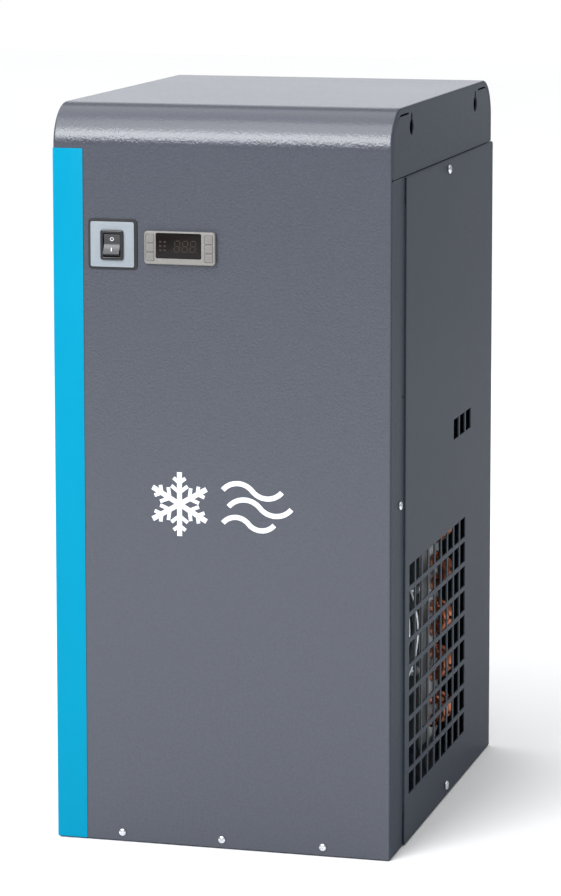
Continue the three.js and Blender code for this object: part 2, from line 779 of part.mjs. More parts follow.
function condenserFins() {
  const inset = sheet + gap;
  const core = block(
    condenserLeft + inset,
    condenserRight - inset,
    condenserFront + 1,
    condenserRear - 1,
    condenserBottom + inset,
    condenserTop - inset,
  );
  return piece("condenser_fins", cut(core, tubeHoles(condenserLeft, condenserSize)), aluminiumFin);
}

// One tube laid up and down through both columns. Both its ends come out at the top left.
function condenserTube() {
  const bend = tubePitch / 2;
  const farLeft = condenserLeft - coilEnd;
  const farRight = condenserRight + coilEnd;
  const corners = [at(farLeft - 6, tubeColumnY[0], tubeRowZ(tubeRows - 1))];
  const down = Array.from({ length: tubeRows }, (_, i) => tubeRows - 1 - i);
  const runs = [...down.map((row) => [0, row]), ...down.reverse().map((row) => [1, row])];
  runs.forEach(([column, row], i) => {
    const end = i % 2 ? farLeft : farRight;
    const next = runs[i + 1];
    if (!next) return;
    corners.push(at(end, tubeColumnY[column], tubeRowZ(row)));
    corners.push(at(end, tubeColumnY[next[0]], tubeRowZ(next[1])));
  });
  corners.push(at(farLeft - 6, tubeColumnY[1], tubeRowZ(tubeRows - 1)));
  const smallestBend = Math.min(bend, tubeColumnPitch / 2) - 0.01;
  return piece("condenser_tube", pipe(bentRoute(corners, smallestBend, 2), tubeRadius, 6), copper);
}

// ---------------------------------------------------------------- fan

const shroudFront = condenserFront - gap - shroudDepth;
const guardY = shroudFront - 7;
const motorFace = guardY - 3.5;
const mouthRadius = guardRadius - 11;

function fanShroud() {
  const skin = 1.2;
  const back = condenserFront - gap;
  const outer = block(condenserLeft, condenserRight, shroudFront, back, condenserBottom, condenserTop);
  const inner = block(
    condenserLeft + skin,
    condenserRight - skin,
    shroudFront + skin,
    condenserFront + 1,
    condenserBottom + skin,
    condenserTop - skin,
  );
  const collar = cut(
    bar("y", shroudFront, shroudFront + 14, fanX, fanZ, mouthRadius + skin, 24),
    bar("y", shroudFront - 1, shroudFront + 15, fanX, fanZ, mouthRadius, 24),
  );
  const open = cut(outer, inner, bar("y", shroudFront - 1, shroudFront + 5, fanX, fanZ, mouthRadius, 24));
  return piece("fan_shroud", join(open, collar), blackSteel);
}

function fanGuard() {
  const wire = 1.4;
  const armAngle = 20; // above and below the fan's level
  const innerRing = motorRadius - 7;
  const ringCount = 5;
  const rings = Array.from(
    { length: ringCount },
    (_, i) => innerRing + ((guardRadius - innerRing) * i) / (ringCount - 1),
  );
  const ring = (radius) =>
    solidOf(new THREE.TorusGeometry(radius, wire, 4, 20).rotateX(Math.PI / 2).translate(0, guardY, 0));
  const arm = (angle) => {
    const reach = guardRadius + 2.5;
    const route = [at(rings[0] - 2, 0, 0), at(reach, 0, 0), at(reach, shroudFront - gap - guardY + 1.6, 0)];
    const spoke = pipe(bentRoute(route, 3, 2), wire, 6);
    return turnedAboutY(shifted(spoke, 0, guardY - 1.6, 0), angle);
  };
  const solid = join(...rings.map(ring), ...[-armAngle, armAngle, 180 - armAngle, 180 + armAngle].map(arm));
  const mesh = piece("fan_guard", solid, galvanised);
  mesh.position.set(fanX, 0, fanZ);
  return mesh;
}

function fanMotor() {
  const back = motorFace - gap;
  const solid = join(
    bar("y", back - motorLength, back - 8, 0, 0, motorRadius, 16),
    bar("y", back - 8.5, back, 0, 0, motorRadius - 5, 16),
  );
  const mesh = piece("fan_motor", solid, blackSteel);
  mesh.position.set(fanX, 0, fanZ);
  return mesh;
}

function fanRotor() {
  const middle = shroudFront + 24;
  const hub = bar("y", middle - 13, middle + 13, 0, 0, hubRadius, 16);
  const shaft = bar("y", motorFace + 0.5, middle, 0, 0, 4, 8);
  const blade = (angle) => {
    const outline = new THREE.Shape();
    outline.moveTo(hubRadius - 5, -19);
    outline.lineTo(bladeRadius * 0.7, -38);
    outline.lineTo(bladeRadius * 0.94, -30);
    outline.lineTo(bladeRadius, 10);
    outline.lineTo(bladeRadius * 0.93, 32);
    outline.lineTo(bladeRadius * 0.6, 30);
    outline.lineTo(hubRadius - 5, 16);
    outline.closePath();
    const flat = solidOf(extruded(outline, 1.6, 1).rotateX(Math.PI / 2).translate(0, 0.8, 0));
    return shifted(turnedAboutY(turnedAboutX(flat, bladePitch), angle), 0, middle, 0);
  };
  const blades = Array.from({ length: bladeCount }, (_, i) => blade((360 * i) / bladeCount));
  const mesh = piece("fan_rotor", join(hub, shaft, ...blades), blackSteel);
  mesh.position.set(fanX, 0, fanZ);
  return mesh;
}

// ---------------------------------------------------------------- refrigerant compressor

const compressorX = 22;
const compressorY = (condenserRear + rearPanelInner) / 2;
const footPlate = { bottom: traySheet + gap + grommetHeight - 8, thickness: 3 };
const shellBottom = footPlate.bottom + footPlate.thickness + gap;
const shellTop = shellBottom + compressorHeight;
const beltHeight = compressorHeight * 0.48; // the weld round the shell's middle
const grommetPlaces = [
  [compressorX - 85, compressorY - 35],
  [compressorX + 85, compressorY - 35],
  [compressorX + 85, compressorY + 35],
  [compressorX - 85, compressorY + 35],
];

function compressorShell() {
  const r = compressorReachY;
  const belt = beltHeight;
  const profile = [
    [0, 0],
    [r * 0.55, 0],
    [r * 0.86, 9],
    [r * 0.97, 30],
    [r * 0.97, belt - 6],
    [r, belt - 6],
    [r, belt + 6],
    [r * 0.95, belt + 6],
    [r * 0.95, compressorHeight - 40],
    [r * 0.84, compressorHeight - 16],
    [r * 0.5, compressorHeight - 3],
    [0, compressorHeight],
  ];
  const shell = scaled(turned(profile, 24), compressorReachX / compressorReachY, 1, 1);
  const mesh = piece("compressor_shell", shell, blackSteel);
  mesh.position.set(compressorX, compressorY, shellBottom);
  return mesh;
}

function compressorFootPlate() {
  const [z0, z1] = [footPlate.bottom, footPlate.bottom + footPlate.thickness];
  const plate = brick(compressorX, compressorY, (z0 + z1) / 2, 208, 104, footPlate.thickness);
  const holes = grommetPlaces.map(([x, y]) => bar("z", z0 - 1, z1 + 1, x, y, 8.6, 10));
  return piece("compressor_foot_plate", cut(plate, ...holes), blackSteel);
}

function grommets() {
  const { bottom, thickness } = footPlate;
  const foot = traySheet + gap;
  const waist = 7.6;
  const profile = [
    [0, foot],
    [12, foot],
    [12, bottom - gap],
    [waist, bottom - gap],
    [waist, bottom + thickness + gap],
    [10, bottom + thickness + gap],
    [10, foot + grommetHeight],
    [0, foot + grommetHeight],
  ];
  return grommetPlaces.map(([x, y], i) => {
    const mesh = piece(`compressor_grommet_${i + 1}`, turned(profile, 10), blackRubber);
    mesh.position.set(x, y, 0);
    return mesh;
  });
}

function terminalCover() {
  const x = compressorX + compressorReachX + gap + 13;
  const box = brick(x, compressorY, shellBottom + beltHeight - 25, 26, 58, 54);
  return piece("compressor_terminal_cover", box, blackPlastic);
}

// ---------------------------------------------------------------- refrigerant lines

const exchangerLeft = -halfWidth + 16;
const exchangerRight = exchangerLeft + exchangerWidth;
const exchangerFront = bulkheadFront + sheet + gap + 18;
const exchangerRear = exchangerFront + exchangerDepth - 18;
const exchangerTop = cabinetHeight - exchangerTopInset;
const exchangerBottom = condenserTop + 34;
const lineX = -halfWidth + 58; // where the lines rise, left of the condenser
const coilPortZ = tubeRowZ(tubeRows - 1);
const coilPortX = condenserLeft - coilEnd - 6 - gap;

const riserX = compressorX - 0.97 * compressorReachX - 20;
const riserY = condenserRear + 16;

function dischargeLine() {
  const outX = compressorX - 0.97 * compressorReachX - gap;
  const corners = [
    at(outX, compressorY, shellBottom + 60),
    at(riserX, compressorY, shellBottom + 60),
    at(riserX, riserY, coilPortZ - 120),
    at(riserX, riserY, coilPortZ - 20),
    at(coilPortX - 14, riserY, coilPortZ - 20),
    at(coilPortX - 14, tubeColumnY[0], coilPortZ - 20),
    at(coilPortX - 14, tubeColumnY[0], coilPortZ),
    at(coilPortX, tubeColumnY[0], coilPortZ),
  ];
  return piece("discharge_line", pipe(bentRoute(corners, 9, 3), linePipeRadius, 6), copper);
}

const dryerRadius = 10;
const dryer = { x: lineX - 30, y: tubeColumnY[1] - 40, bottom: 150, length: 86 };

function liquidLine() {
  const drop = at(coilPortX - 26, tubeColumnY[1] - 14, coilPortZ);
  const corners = [
    at(coilPortX, tubeColumnY[1], coilPortZ),
    at(coilPortX - 10, tubeColumnY[1], coilPortZ),
    drop,
    at(drop.x, drop.y, dryer.bottom - 40),
    at(dryer.x, dryer.y, dryer.bottom - 40),
    at(dryer.x, dryer.y, dryer.bottom - gap),
  ];
  return piece("liquid_line", pipe(bentRoute(corners, 7, 3), linePipeRadius - 0.8, 6), copper);
}

function filterDryer() {
  const { x, y, bottom, length } = dryer;
  const profile = [
    [0, 0],
    [4, 0],
    [4, 6],
    [dryerRadius, 16],
    [dryerRadius, length - 16],
    [3, length - 6],
    [3, length],
    [0, length],
  ];
  const mesh = piece("filter_dryer", turned(profile, 12), copper);
  mesh.position.set(x, y, bottom);
  return mesh;
}

// The capillary is wound round an upright axis above the filter, then rises to the exchanger.
function capillaryTube() {
  const radius = 1.4;
  const windingRadius = 16;
  const turns = 3;
  const stepsPerTurn = 14;
  const start = dryer.bottom + dryer.length + gap;
  const winding = Array.from({ length: turns * stepsPerTurn + 1 }, (_, i) => {
    const angle = (2 * Math.PI * i) / stepsPerTurn;
    const [dx, dy] = [windingRadius * (1 - Math.cos(angle)), windingRadius * Math.sin(angle)];
    return at(dryer.x + dx, dryer.y + dy, start + 10 + (i / stepsPerTurn) * 7);
  });
  const top = winding.at(-1);
  const end = at(exchangerLeft + 14, exchangerFront + 12, exchangerBottom - gap);
  const rise = [at(top.x, top.y, top.z + 8), at(end.x, end.y, end.z - 14), end];
  const points = [at(dryer.x, dryer.y, start), ...winding, ...rise];
  return piece("capillary_tube", pipe(points, radius, 5), copper);
}

function suctionLine() {
  const x = compressorX - 30;
  const top = at(x - 14, exchangerRear - 34, exchangerBottom - gap);
  const end = shellTop - 1;
  const corners = [
    top,
    at(top.x, top.y, top.z - 44),
    at(x, compressorY, end + 46),
    at(x, compressorY, end + gap),
  ];
  return piece("suction_line", pipe(bentRoute(corners, 14, 3), linePipeRadius + 1, 8), copper);
}

// A small brass valve that takes hot gas from the riser, past the condenser, up to the evaporator.
function hotGasValve() {
  const [x, z] = [riserX + 42, coilPortZ - 50];
  const body = join(
    bar("z", z - 16, z + 16, x, riserY, 11, 8),
    bar("x", x + 8, x + 32, riserY, z, 17, 12),
    bar("x", riserX + linePipeRadius + gap, x, riserY, z, 4, 6),
    bar("z", z, exchangerBottom - gap, x, riserY, 4, 6),
  );
  return piece("hot_gas_valve", body, brass);
}

// ---------------------------------------------------------------- air side

function heatExchanger() {
  const middle = (exchangerLeft + exchangerRight) / 2;
  const outline = new THREE.Shape();
  roundedRectangle(
    middle,
    (exchangerFront + exchangerRear) / 2,
    exchangerRight - exchangerLeft,
    exchangerRear - exchangerFront,
    14,
    outline,
  );
  const height = exchangerTop - exchangerBottom;
  const jacket = solidOf(extruded(outline, height, 2).translate(0, 0, exchangerBottom));
  return piece("heat_exchanger", jacket, blackFoam);
}

// A port fitting: a sleeve from the exchanger through the rear panel, ending in a female-threaded hexagon.
function portFitting(name, x) {
  const start = exchangerRear + gap;
  const hexBack = rear + sheet + 1;
  const hexFront = hexBack + 22;
  const sleeve = bar("y", start, hexBack + 1, x, portZ, portRadius + 3.5, 16);
  const flange = bar("y", hexBack - 3.5, hexBack + 0.5, x, portZ, portSleeve, 16);
  const hexagon = bar("y", hexBack, hexFront, x, portZ, portRadius + 8.5, 6);
  const bore = bar("y", hexFront - 24, hexFront + 1, x, portZ, portRadius, 16);
  return piece(name, cut(join(sleeve, flange, hexagon), bore), brass);
}

const separator = { x: exchangerLeft + 34, y: exchangerRear - 36, radius: 32, length: 70 };

function moistureSeparator() {
  const { x, y, radius, length } = separator;
  const top = exchangerBottom - gap;
  const profile = [
    [0, -length - 12],
    [7, -length - 12],
    [7, -length],
    [radius * 0.6, -length],
    [radius, -length + 14],
    [radius, -8],
    [radius + 3, -8],
    [radius + 3, 0],
    [0, 0],
  ];
  const mesh = piece("moisture_separator", turned(profile, 16), aluminiumFin);
  mesh.position.set(x, y, top);
  return mesh;
}

// ---------------------------------------------------------------- condensate drain

const valveTop = exchangerBottom - gap - separator.length - 12 - gap;
const valveZ = valveTop - 15;
const valveStemX = separator.x - 15;
const solenoidTop = valveTop - 30 - gap;
const solenoidBottom = solenoidTop - 46;

function ballValve() {
  const { x, y } = separator;
  const body = join(
    bar("z", valveTop - 30, valveTop, x, y, 8, 6),
    bar("z", valveTop - 23, valveTop - 7, x, y, 11, 12),
    bar("x", valveStemX, x, y, valveZ, 4, 8),
  );
  return piece("drain_ball_valve", body, brass);
}

// The lever hangs down along the pipe while the valve is open.
function valveLever() {
  const thickness = 2.5;
  const outline = roundedRectangle(0, -16, 13, 46, 4);
  const plate = alongX(outline, -thickness, thickness, 2);
  const nut = bar("x", -thickness - 4, -thickness + 0.5, 0, 0, 4.5, 6);
  const mesh = piece("drain_valve_lever", join(plate, nut), redLever);
  mesh.position.set(valveStemX - gap, separator.y, valveZ);
  return mesh;
}

function solenoidValve() {
  const { x, y } = separator;
  const body = join(
    bar("z", solenoidBottom, solenoidTop, x, y, 7, 8),
    brick(x, y, solenoidTop - 24, 26, 26, 22),
    brick(x + 2, y + 30, solenoidTop - 24, 30, 38, 30),
  );
  return piece("drain_solenoid_valve", body, blackPlastic);
}

function drainTube() {
  const { x, y } = separator;
  const radius = 4;
  const end = rearPanelInner - 12;
  const corners = [
    at(x, y, solenoidBottom - gap),
    at(x, y, drainOutlet.z),
    at(drainOutlet.x, (y + end) / 2, drainOutlet.z),
    at(drainOutlet.x, end, drainOutlet.z),
  ];
  return piece("drain_tube", pipe(bentRoute(corners, 14, 4), radius, 8), blackRubber);
}

function drainOutletFitting() {
  const { x, z, radius } = drainOutlet;
  const start = rearPanelInner - 12 + gap;
  const face = rearPanelOuter + gap;
  const body = join(
    bar("y", start, face + 1, x, z, radius - 0.5, 10),
    bar("y", face, face + 4, x, z, radius + 3, 6),
    bar("y", face + 3, face + 17, x, z, 4.4, 10),
    bar("y", face + 12, face + 15, x, z, 5.4, 10),
  );
  return piece("drain_outlet", body, brass);
}

function cableGland() {
  const { x, z, radius } = gland;
  const face = rearPanelOuter + gap;
  const body = join(
    bar("y", rearPanelInner - 10, face + 1, x, z, radius - 0.5, 12),
    bar("y", face, face + 6, x, z, radius + 4, 6),
    bar("y", face + 5, face + 18, x, z, radius + 1, 12),
  );
  const bore = bar("y", rearPanelInner - 11, face + 19, x, z, 5, 12);
  return piece("cable_gland", cut(body, bore), blackPlastic);
}

// ---------------------------------------------------------------- assembly

function group(...members) {
  const made = new THREE.Group();
  made.add(...members);
  return made;
}

const rightPanel = piece("right_side_panel", sidePanel(), darkPaint);
const leftPanel = piece("left_side_panel", scaled(sidePanel(), -1, 1, 1), darkPaint);

const sheets = group(frontTopCover(), rightPanel, leftPanel, rearPanel(), baseTray(), innerBulkhead());
const cabinet = group(sheets, accentStrip());
const fasteners = group(...frontScrews(), ...sideScrews(-1), ...sideScrews(1));
const controls = group(mainsSwitch(), controller(), electricalBox());
const condenser = group(condenserFrame(), condenserFins(), condenserTube());
const fan = group(fanShroud(), fanGuard(), fanMotor(), fanRotor());
const compressor = group(compressorShell(), compressorFootPlate(), terminalCover(), ...grommets());
const highSide = group(dischargeLine(), hotGasValve(), liquidLine(), filterDryer(), capillaryTube());
const lines = group(highSide, suctionLine());
const air = group(
  heatExchanger(),
  moistureSeparator(),
  portFitting("air_inlet_fitting", portX[0]),
  portFitting("air_outlet_fitting", portX[1]),
);
const drain = group(
  ballValve(),
  valveLever(),
  solenoidValve(),
  drainTube(),
  drainOutletFitting(),
  cableGland(),
);

const dryerGroup = group(cabinet, fasteners, controls, condenser, fan, compressor, lines, air, drain);

export default dryerGroup;
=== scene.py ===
import math
import random

import bmesh
import bpy
from mathutils import Matrix, Vector


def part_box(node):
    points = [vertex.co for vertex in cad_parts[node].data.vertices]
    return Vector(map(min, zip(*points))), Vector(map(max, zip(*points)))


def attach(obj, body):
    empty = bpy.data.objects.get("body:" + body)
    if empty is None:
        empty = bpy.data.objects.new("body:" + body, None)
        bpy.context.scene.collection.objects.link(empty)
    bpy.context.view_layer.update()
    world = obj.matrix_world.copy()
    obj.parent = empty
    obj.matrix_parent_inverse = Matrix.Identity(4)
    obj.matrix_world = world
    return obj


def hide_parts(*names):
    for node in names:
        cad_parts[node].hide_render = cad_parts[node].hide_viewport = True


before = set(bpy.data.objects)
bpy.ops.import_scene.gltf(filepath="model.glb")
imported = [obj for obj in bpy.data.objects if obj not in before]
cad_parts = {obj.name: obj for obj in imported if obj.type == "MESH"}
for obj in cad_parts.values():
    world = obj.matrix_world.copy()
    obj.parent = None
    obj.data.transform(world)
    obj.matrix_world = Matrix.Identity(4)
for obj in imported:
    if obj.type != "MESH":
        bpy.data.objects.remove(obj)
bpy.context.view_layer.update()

MM = 0.001
X, Y, Z = 0, 1, 2
QUARTER = math.pi / 2

scene = bpy.context.scene
scene.view_settings.view_transform = "Standard"


# ---------------------------------------------------------------- finishes


class Value:
    """A node's output. Sums and products of it become Math nodes."""

    def __init__(self, finish, socket):
        self.finish = finish
        self.socket = socket

    def _sum(self, operation, first, second):
        return self.finish.node("Math", {"operation": operation}, {0: first, 1: second})

    def __add__(self, other):
        return self._sum("ADD", self, other)

    def __radd__(self, other):
        return self._sum("ADD", other, self)

    def __sub__(self, other):
        return self._sum("SUBTRACT", self, other)

    def __rsub__(self, other):
        return self._sum("SUBTRACT", other, self)

    def __mul__(self, other):
        return self._sum("MULTIPLY", self, other)

    def __rmul__(self, other):
        return self._sum("MULTIPLY", other, self)


class Finish:
    """A material made of nodes, with the record's slot that it belongs to."""

    def __init__(self, name, slot, metallic=0.0, **constants):
        self.slot = slot
        self.material = bpy.data.materials.new(name)
        self.material.use_nodes = True
        self.tree = self.material.node_tree
        self.shader = self.tree.nodes["Principled BSDF"]
        self.shader.inputs["Metallic"].default_value = metallic
        for socket, value in constants.items():
            self.shader.inputs[socket.replace("_", " ")].default_value = value
        self.place = self.node("TexCoord", output="Object")

    def feed(self, socket, value):
        if isinstance(value, Value):
            self.tree.links.new(value.socket, socket)
        else:
            socket.default_value = value

    def node(self, kind, settings=None, inputs=None, output=0):
        made = self.tree.nodes.new("ShaderNode" + kind)
        for name, value in (settings or {}).items():
            if name == "stops":
                ramp = made.color_ramp
                while len(ramp.elements) < len(value):
                    ramp.elements.new(0.5)
                for element, (position, colour) in zip(ramp.elements, value):
                    element.position = position
                    element.color = colour
            else:
                setattr(made, name, value)
        for key, value in (inputs or {}).items():
            self.feed(made.inputs[key], value)
        return Value(self, made.outputs[output])

    def noise(self, scale, detail=2.0, stretch=(1, 1, 1), roughness=0.5):
        where = self.place
        if stretch != (1, 1, 1):
            where = self.node("Mapping", None, {"Vector": self.place, "Scale": stretch})
        inputs = {"Vector": where, "Scale": scale, "Detail": detail, "Roughness": roughness}
        return self.node("TexNoise", None, inputs)

    def cells(self, scale):
        return self.node("TexVoronoi", None, {"Vector": self.place, "Scale": scale})

    def between(self, share, low, high):
        """Stretches the part of a value between two levels to run from 0 to 1."""
        return self.node("MapRange", None, {"Value": share, "From Min": low, "From Max": high})

    def blend(self, share, first, second):
        settings = {"data_type": "RGBA"}
        return self.node("Mix", settings, {0: share, 6: first, 7: second}, output=2)

    def colour(self, value):
        self.feed(self.shader.inputs["Base Color"], value)

    def rough(self, value):
        self.feed(self.shader.inputs["Roughness"], value)

    def bump(self, height, strength, distance):
        inputs = {"Height": height, "Strength": strength, "Distance": distance * MM}
        self.feed(self.shader.inputs["Normal"], self.node("Bump", None, inputs, output="Normal"))


def shade(colour, factor):
    return tuple(channel * factor for channel in colour) + (1.0,)


def powder_coat(name, slot, colour, gloss):
    """Stoved powder paint with an orange-peel skin."""
    paint = Finish(name, slot, Specular_IOR_Level=gloss)
    peel = paint.noise(420, 1.5)
    pebble = paint.noise(900, 1.5)
    skin = 0.7 * peel + 0.3 * pebble
    cloud = paint.noise(6, 3)
    # The paint's colour follows the relief of the peel: painted shade in its hollows and painted light on its
    # crests.
    peel_relief_shading = paint.between(skin, 0.3, 0.7)
    paint.colour(paint.blend(0.75 * peel_relief_shading + 0.25 * cloud, shade(colour, 0.88), shade(colour, 1.1)))
    paint.rough(0.17 + 0.05 * cloud + 0.05 * peel_relief_shading)
    paint.bump(skin, 0.45, 0.7)
    return paint


def vinyl_film(name, slot, colour):
    film = Finish(name, slot, Specular_IOR_Level=0.06)
    skin = film.noise(380, 2)
    cloud = film.noise(9, 2)
    film.colour(film.blend(cloud, shade(colour, 0.94), shade(colour, 1.06)))
    film.rough(0.36 + 0.08 * cloud)
    film.bump(skin, 0.12, 0.3)
    return film


def plated(name, slot, colour, roughness=0.2, tarnish=0.25):
    """Bright plating that has dulled in patches, with fine turning marks."""
    metal = Finish(name, slot, metallic=1.0)
    patches = metal.noise(160, 4)
    marks = metal.noise(900, 2, stretch=(1, 1, 7))
    dull = metal.between(patches, 0.42, 0.72)
    metal.colour(metal.blend(dull * tarnish, shade(colour, 1.0), shade(colour, 0.45)))
    metal.rough(roughness + 0.18 * dull + 0.08 * marks)
    metal.bump(marks, 0.08, 0.1)
    return metal


def galvanised_sheet():
    """Hot-dip zinc with its spangle."""
    metal = Finish("galvanised_sheet", "galvanised", metallic=0.9)
    spangle = metal.node("TexVoronoi", None, {"Vector": metal.place, "Scale": 130.0}, output="Color")
    grey = metal.node("SeparateColor", None, {0: spangle}, output=0)
    cloud = metal.noise(14, 4)
    tone = 0.6 * grey + 0.4 * cloud
    metal.colour(metal.blend(tone, (0.30, 0.32, 0.33, 1), (0.56, 0.58, 0.60, 1)))
    metal.rough(0.30 + 0.22 * grey)
    metal.bump(grey, 0.05, 0.2)
    return metal


def satin_enamel(name, slot, colour, roughness):
    """Thin dipped paint over rough steel, with a little dust."""
    paint = Finish(name, slot)
    skin = paint.noise(260, 3)
    dust = paint.between(paint.noise(22, 5), 0.45, 0.75)
    paint.colour(paint.blend(0.22 * dust, shade(colour, 1.0), (0.19, 0.185, 0.175, 1)))
    paint.rough(roughness + 0.25 * dust)
    paint.bump(skin, 0.2, 0.35)
    return paint


def moulded(name, slot, colour, roughness, grain=0.12, fleck=0.0):
    """Injection-moulded plastic with a spark-eroded grain and, on some, metallic flecks."""
    plastic = Finish(name, slot)
    grained = plastic.noise(1500, 2)
    cloud = plastic.noise(45, 2)
    base = plastic.blend(cloud, shade(colour, 0.92), shade(colour, 1.07))
    if fleck:
        spots = plastic.between(plastic.noise(2300, 1), 0.56, 0.66)
        base = plastic.blend(fleck * spots, base, shade(colour, 2.1))
    plastic.colour(base)
    plastic.rough(roughness + 0.08 * grained)
    plastic.bump(grained, grain, 0.12)
    return plastic


def smoked_acrylic():
    acrylic = Finish("smoked_acrylic", "smoked_lens", Specular_IOR_Level=0.16)
    haze = acrylic.noise(60, 3)
    acrylic.colour(acrylic.blend(haze, (0.0052, 0.0042, 0.0038, 1), (0.0088, 0.0066, 0.0058, 1)))
    acrylic.rough(0.12 + 0.1 * haze)
    return acrylic


def soft_rubber():
    rubber = Finish("soft_rubber", "black_rubber")
    bloom = rubber.noise(35, 4)
    rubber.colour(rubber.blend(bloom, (0.010, 0.010, 0.011, 1), (0.026, 0.026, 0.027, 1)))
    rubber.rough(0.68 + 0.2 * bloom)
    rubber.bump(rubber.noise(700, 3), 0.2, 0.2)
    return rubber


def drawn_copper():
    metal = Finish("drawn_copper", "copper", metallic=1.0)
    stain = metal.between(metal.noise(38, 5), 0.4, 0.68)
    # Both copper tones are kept dark. They show aged copper, and they are also painted shade for the dim
    # inside of the cabinet.
    bright = metal.blend(stain, (0.38, 0.14, 0.075, 1), (0.13, 0.05, 0.028, 1))
    metal.colour(bright)
    metal.rough(0.2 + 0.28 * stain)
    metal.bump(metal.noise(420, 2), 0.08, 0.15)
    return metal


def closed_foam():
    foam = Finish("closed_foam", "black_foam")
    cells = foam.cells(520)
    patch = foam.noise(18, 3)
    foam.colour(foam.blend(patch, (0.012, 0.012, 0.013, 1), (0.028, 0.028, 0.029, 1)))
    foam.rough(0.82 + 0.12 * patch)
    foam.bump(cells, 0.35, 0.5)
    return foam


def fin_stock():
    metal = Finish("fin_stock", "aluminium_fin", metallic=1.0)
    dust = metal.between(metal.noise(30, 4), 0.45, 0.8)
    metal.colour(metal.blend(dust, (0.30, 0.32, 0.34, 1), (0.13, 0.128, 0.122, 1)))
    metal.rough(0.3 + 0.35 * dust)
    metal.bump(metal.noise(300, 2), 0.1, 0.2)
    return metal


def printed_ink(name, slot, colour):
    """Screen-printed ink that lets the paint's skin through."""
    ink = Finish(name, slot)
    skin = ink.noise(430, 2.5)
    worn = ink.noise(70, 4)
    ink.colour(ink.blend(worn, shade(colour, 0.95), shade(colour, 1.03)))
    ink.rough(0.42 + 0.1 * worn)
    ink.bump(skin, 0.16, 0.4)
    return ink


FRONT_PAINT = powder_coat("grey_powder_coat", "front_paint", (0.050, 0.056, 0.075), 0.6)
# The cabinet wears one paint all round. This darker, near-matte copy of it is painted shade for the sides,
# rear and base, which the lamps light less.
SHADED_SIDE_PAINT = powder_coat("shaded_panel_powder_coat", "side_paint", (0.052, 0.063, 0.082), 0.004)
CYAN = vinyl_film("cyan_film", "cyan_vinyl", (0.0, 0.25, 0.41))
ZINC = plated("bright_zinc", "zinc", (0.80, 0.82, 0.86))
GALVANISED = galvanised_sheet()
GUARD_WIRE = plated("guard_wire_plating", "galvanised", (0.72, 0.75, 0.77), 0.25, 0.15)
BLACK_ENAMEL = satin_enamel("black_enamel", "black_steel", (0.011, 0.012, 0.013), 0.32)
SHROUD_ENAMEL = satin_enamel("shroud_enamel", "black_steel", (0.030, 0.040, 0.040), 0.38)
GLOSS_BLACK = moulded("gloss_black_moulding", "black_plastic", (0.012, 0.012, 0.014), 0.13, 0.02)
SATIN_BLACK = moulded("satin_black_moulding", "black_plastic", (0.020, 0.020, 0.023), 0.36)
SILVER_PLASTIC = moulded("silver_moulding", "grey_plastic", (0.195, 0.187, 0.176), 0.36, 0.1, 0.5)
KEY_PLASTIC = moulded("key_moulding", "grey_plastic", (0.165, 0.158, 0.15), 0.4, 0.14, 0.4)
ROCKER_BLACK = moulded("rocker_moulding", "black_plastic", (0.030, 0.030, 0.033), 0.28, 0.06)
LABEL = moulded("label_plate", "pale_label", (0.25, 0.28, 0.31), 0.4, 0.04, 0.12)
ACRYLIC = smoked_acrylic()
RUBBER = soft_rubber()
COPPER = drawn_copper()
BRASS = plated("machined_brass", "brass", (0.75, 0.55, 0.26), 0.22, 0.4)
FINS = fin_stock()
FOAM = closed_foam()
RED = moulded("red_dip", "red_lever", (0.42, 0.022, 0.016), 0.4, 0.06)
WHITE_INK = printed_ink("white_ink", None, (0.80, 0.82, 0.86))
MARK_INK = printed_ink("mark_ink", "pale_label", (0.74, 0.75, 0.77))
DIGIT_INK = moulded("unlit_digit", "smoked_lens", (0.027, 0.016, 0.011), 0.14, 0.0)


# ---------------------------------------------------------------- shapes


def span(node):
    """The lowest and highest corners of a CAD node, in millimetres."""
    low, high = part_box(node)
    return low / MM, high / MM


def middle(node):
    low, high = span(node)
    return (low + high) / 2


def block(low, high):
    bm = bmesh.new()
    low, high = Vector(low), Vector(high)
    bmesh.ops.create_cube(bm, size=1)
    bmesh.ops.scale(bm, vec=high - low, verts=bm.verts)
    bmesh.ops.translate(bm, vec=(low + high) / 2, verts=bm.verts)
    bm.normal_update()
    return bm


def brick(centre, size):
    centre, half = Vector(centre), Vector(size) / 2
    return block(centre - half, centre + half)


def edges_along(bm, axis):
    return [e for e in bm.edges if abs((e.verts[0].co - e.verts[1].co).normalized()[axis]) > 0.999]


def folds(bm, degrees=50):
    return [e for e in bm.edges if e.calc_face_angle(0) > math.radians(degrees)]


def round_edges(bm, edges, radius, segments=4):
    bmesh.ops.bevel(
        bm,
        geom=list(edges),
        offset=radius,
        offset_type="OFFSET",
        affect="EDGES",
        segments=segments,
        profile=0.5,
        material=-1,
        clamp_overlap=True,
    )
    bm.normal_update()
    return bm


def rounded(low, high, corner, edge, axis=Y, segments=6):
    """A block with a corner radius round one axis and a smaller radius on its rims."""
    bm = block(low, high)
    if corner:
        round_edges(bm, edges_along(bm, axis), corner, segments)
    if edge:
        round_edges(bm, folds(bm), edge, 3)
    return bm


def prism(outline, axis, start, end):
    """An outline in the two other coordinates, drawn out along one axis."""
    bm = bmesh.new()
    corners = [[u, v] for u, v in outline]
    for corner in corners:
        corner.insert(axis, start)
    face = bm.faces.new([bm.verts.new(corner) for corner in corners])
    drawn = bmesh.ops.extrude_face_region(bm, geom=[face], use_keep_orig=True)["geom"]
    along = Vector((0, 0, 0))
    along[axis] = end - start
    bmesh.ops.translate(bm, vec=along, verts=[v for v in drawn if isinstance(v, bmesh.types.BMVert)])
    bmesh.ops.recalc_face_normals(bm, faces=bm.faces)
    bm.normal_update()
    return bm


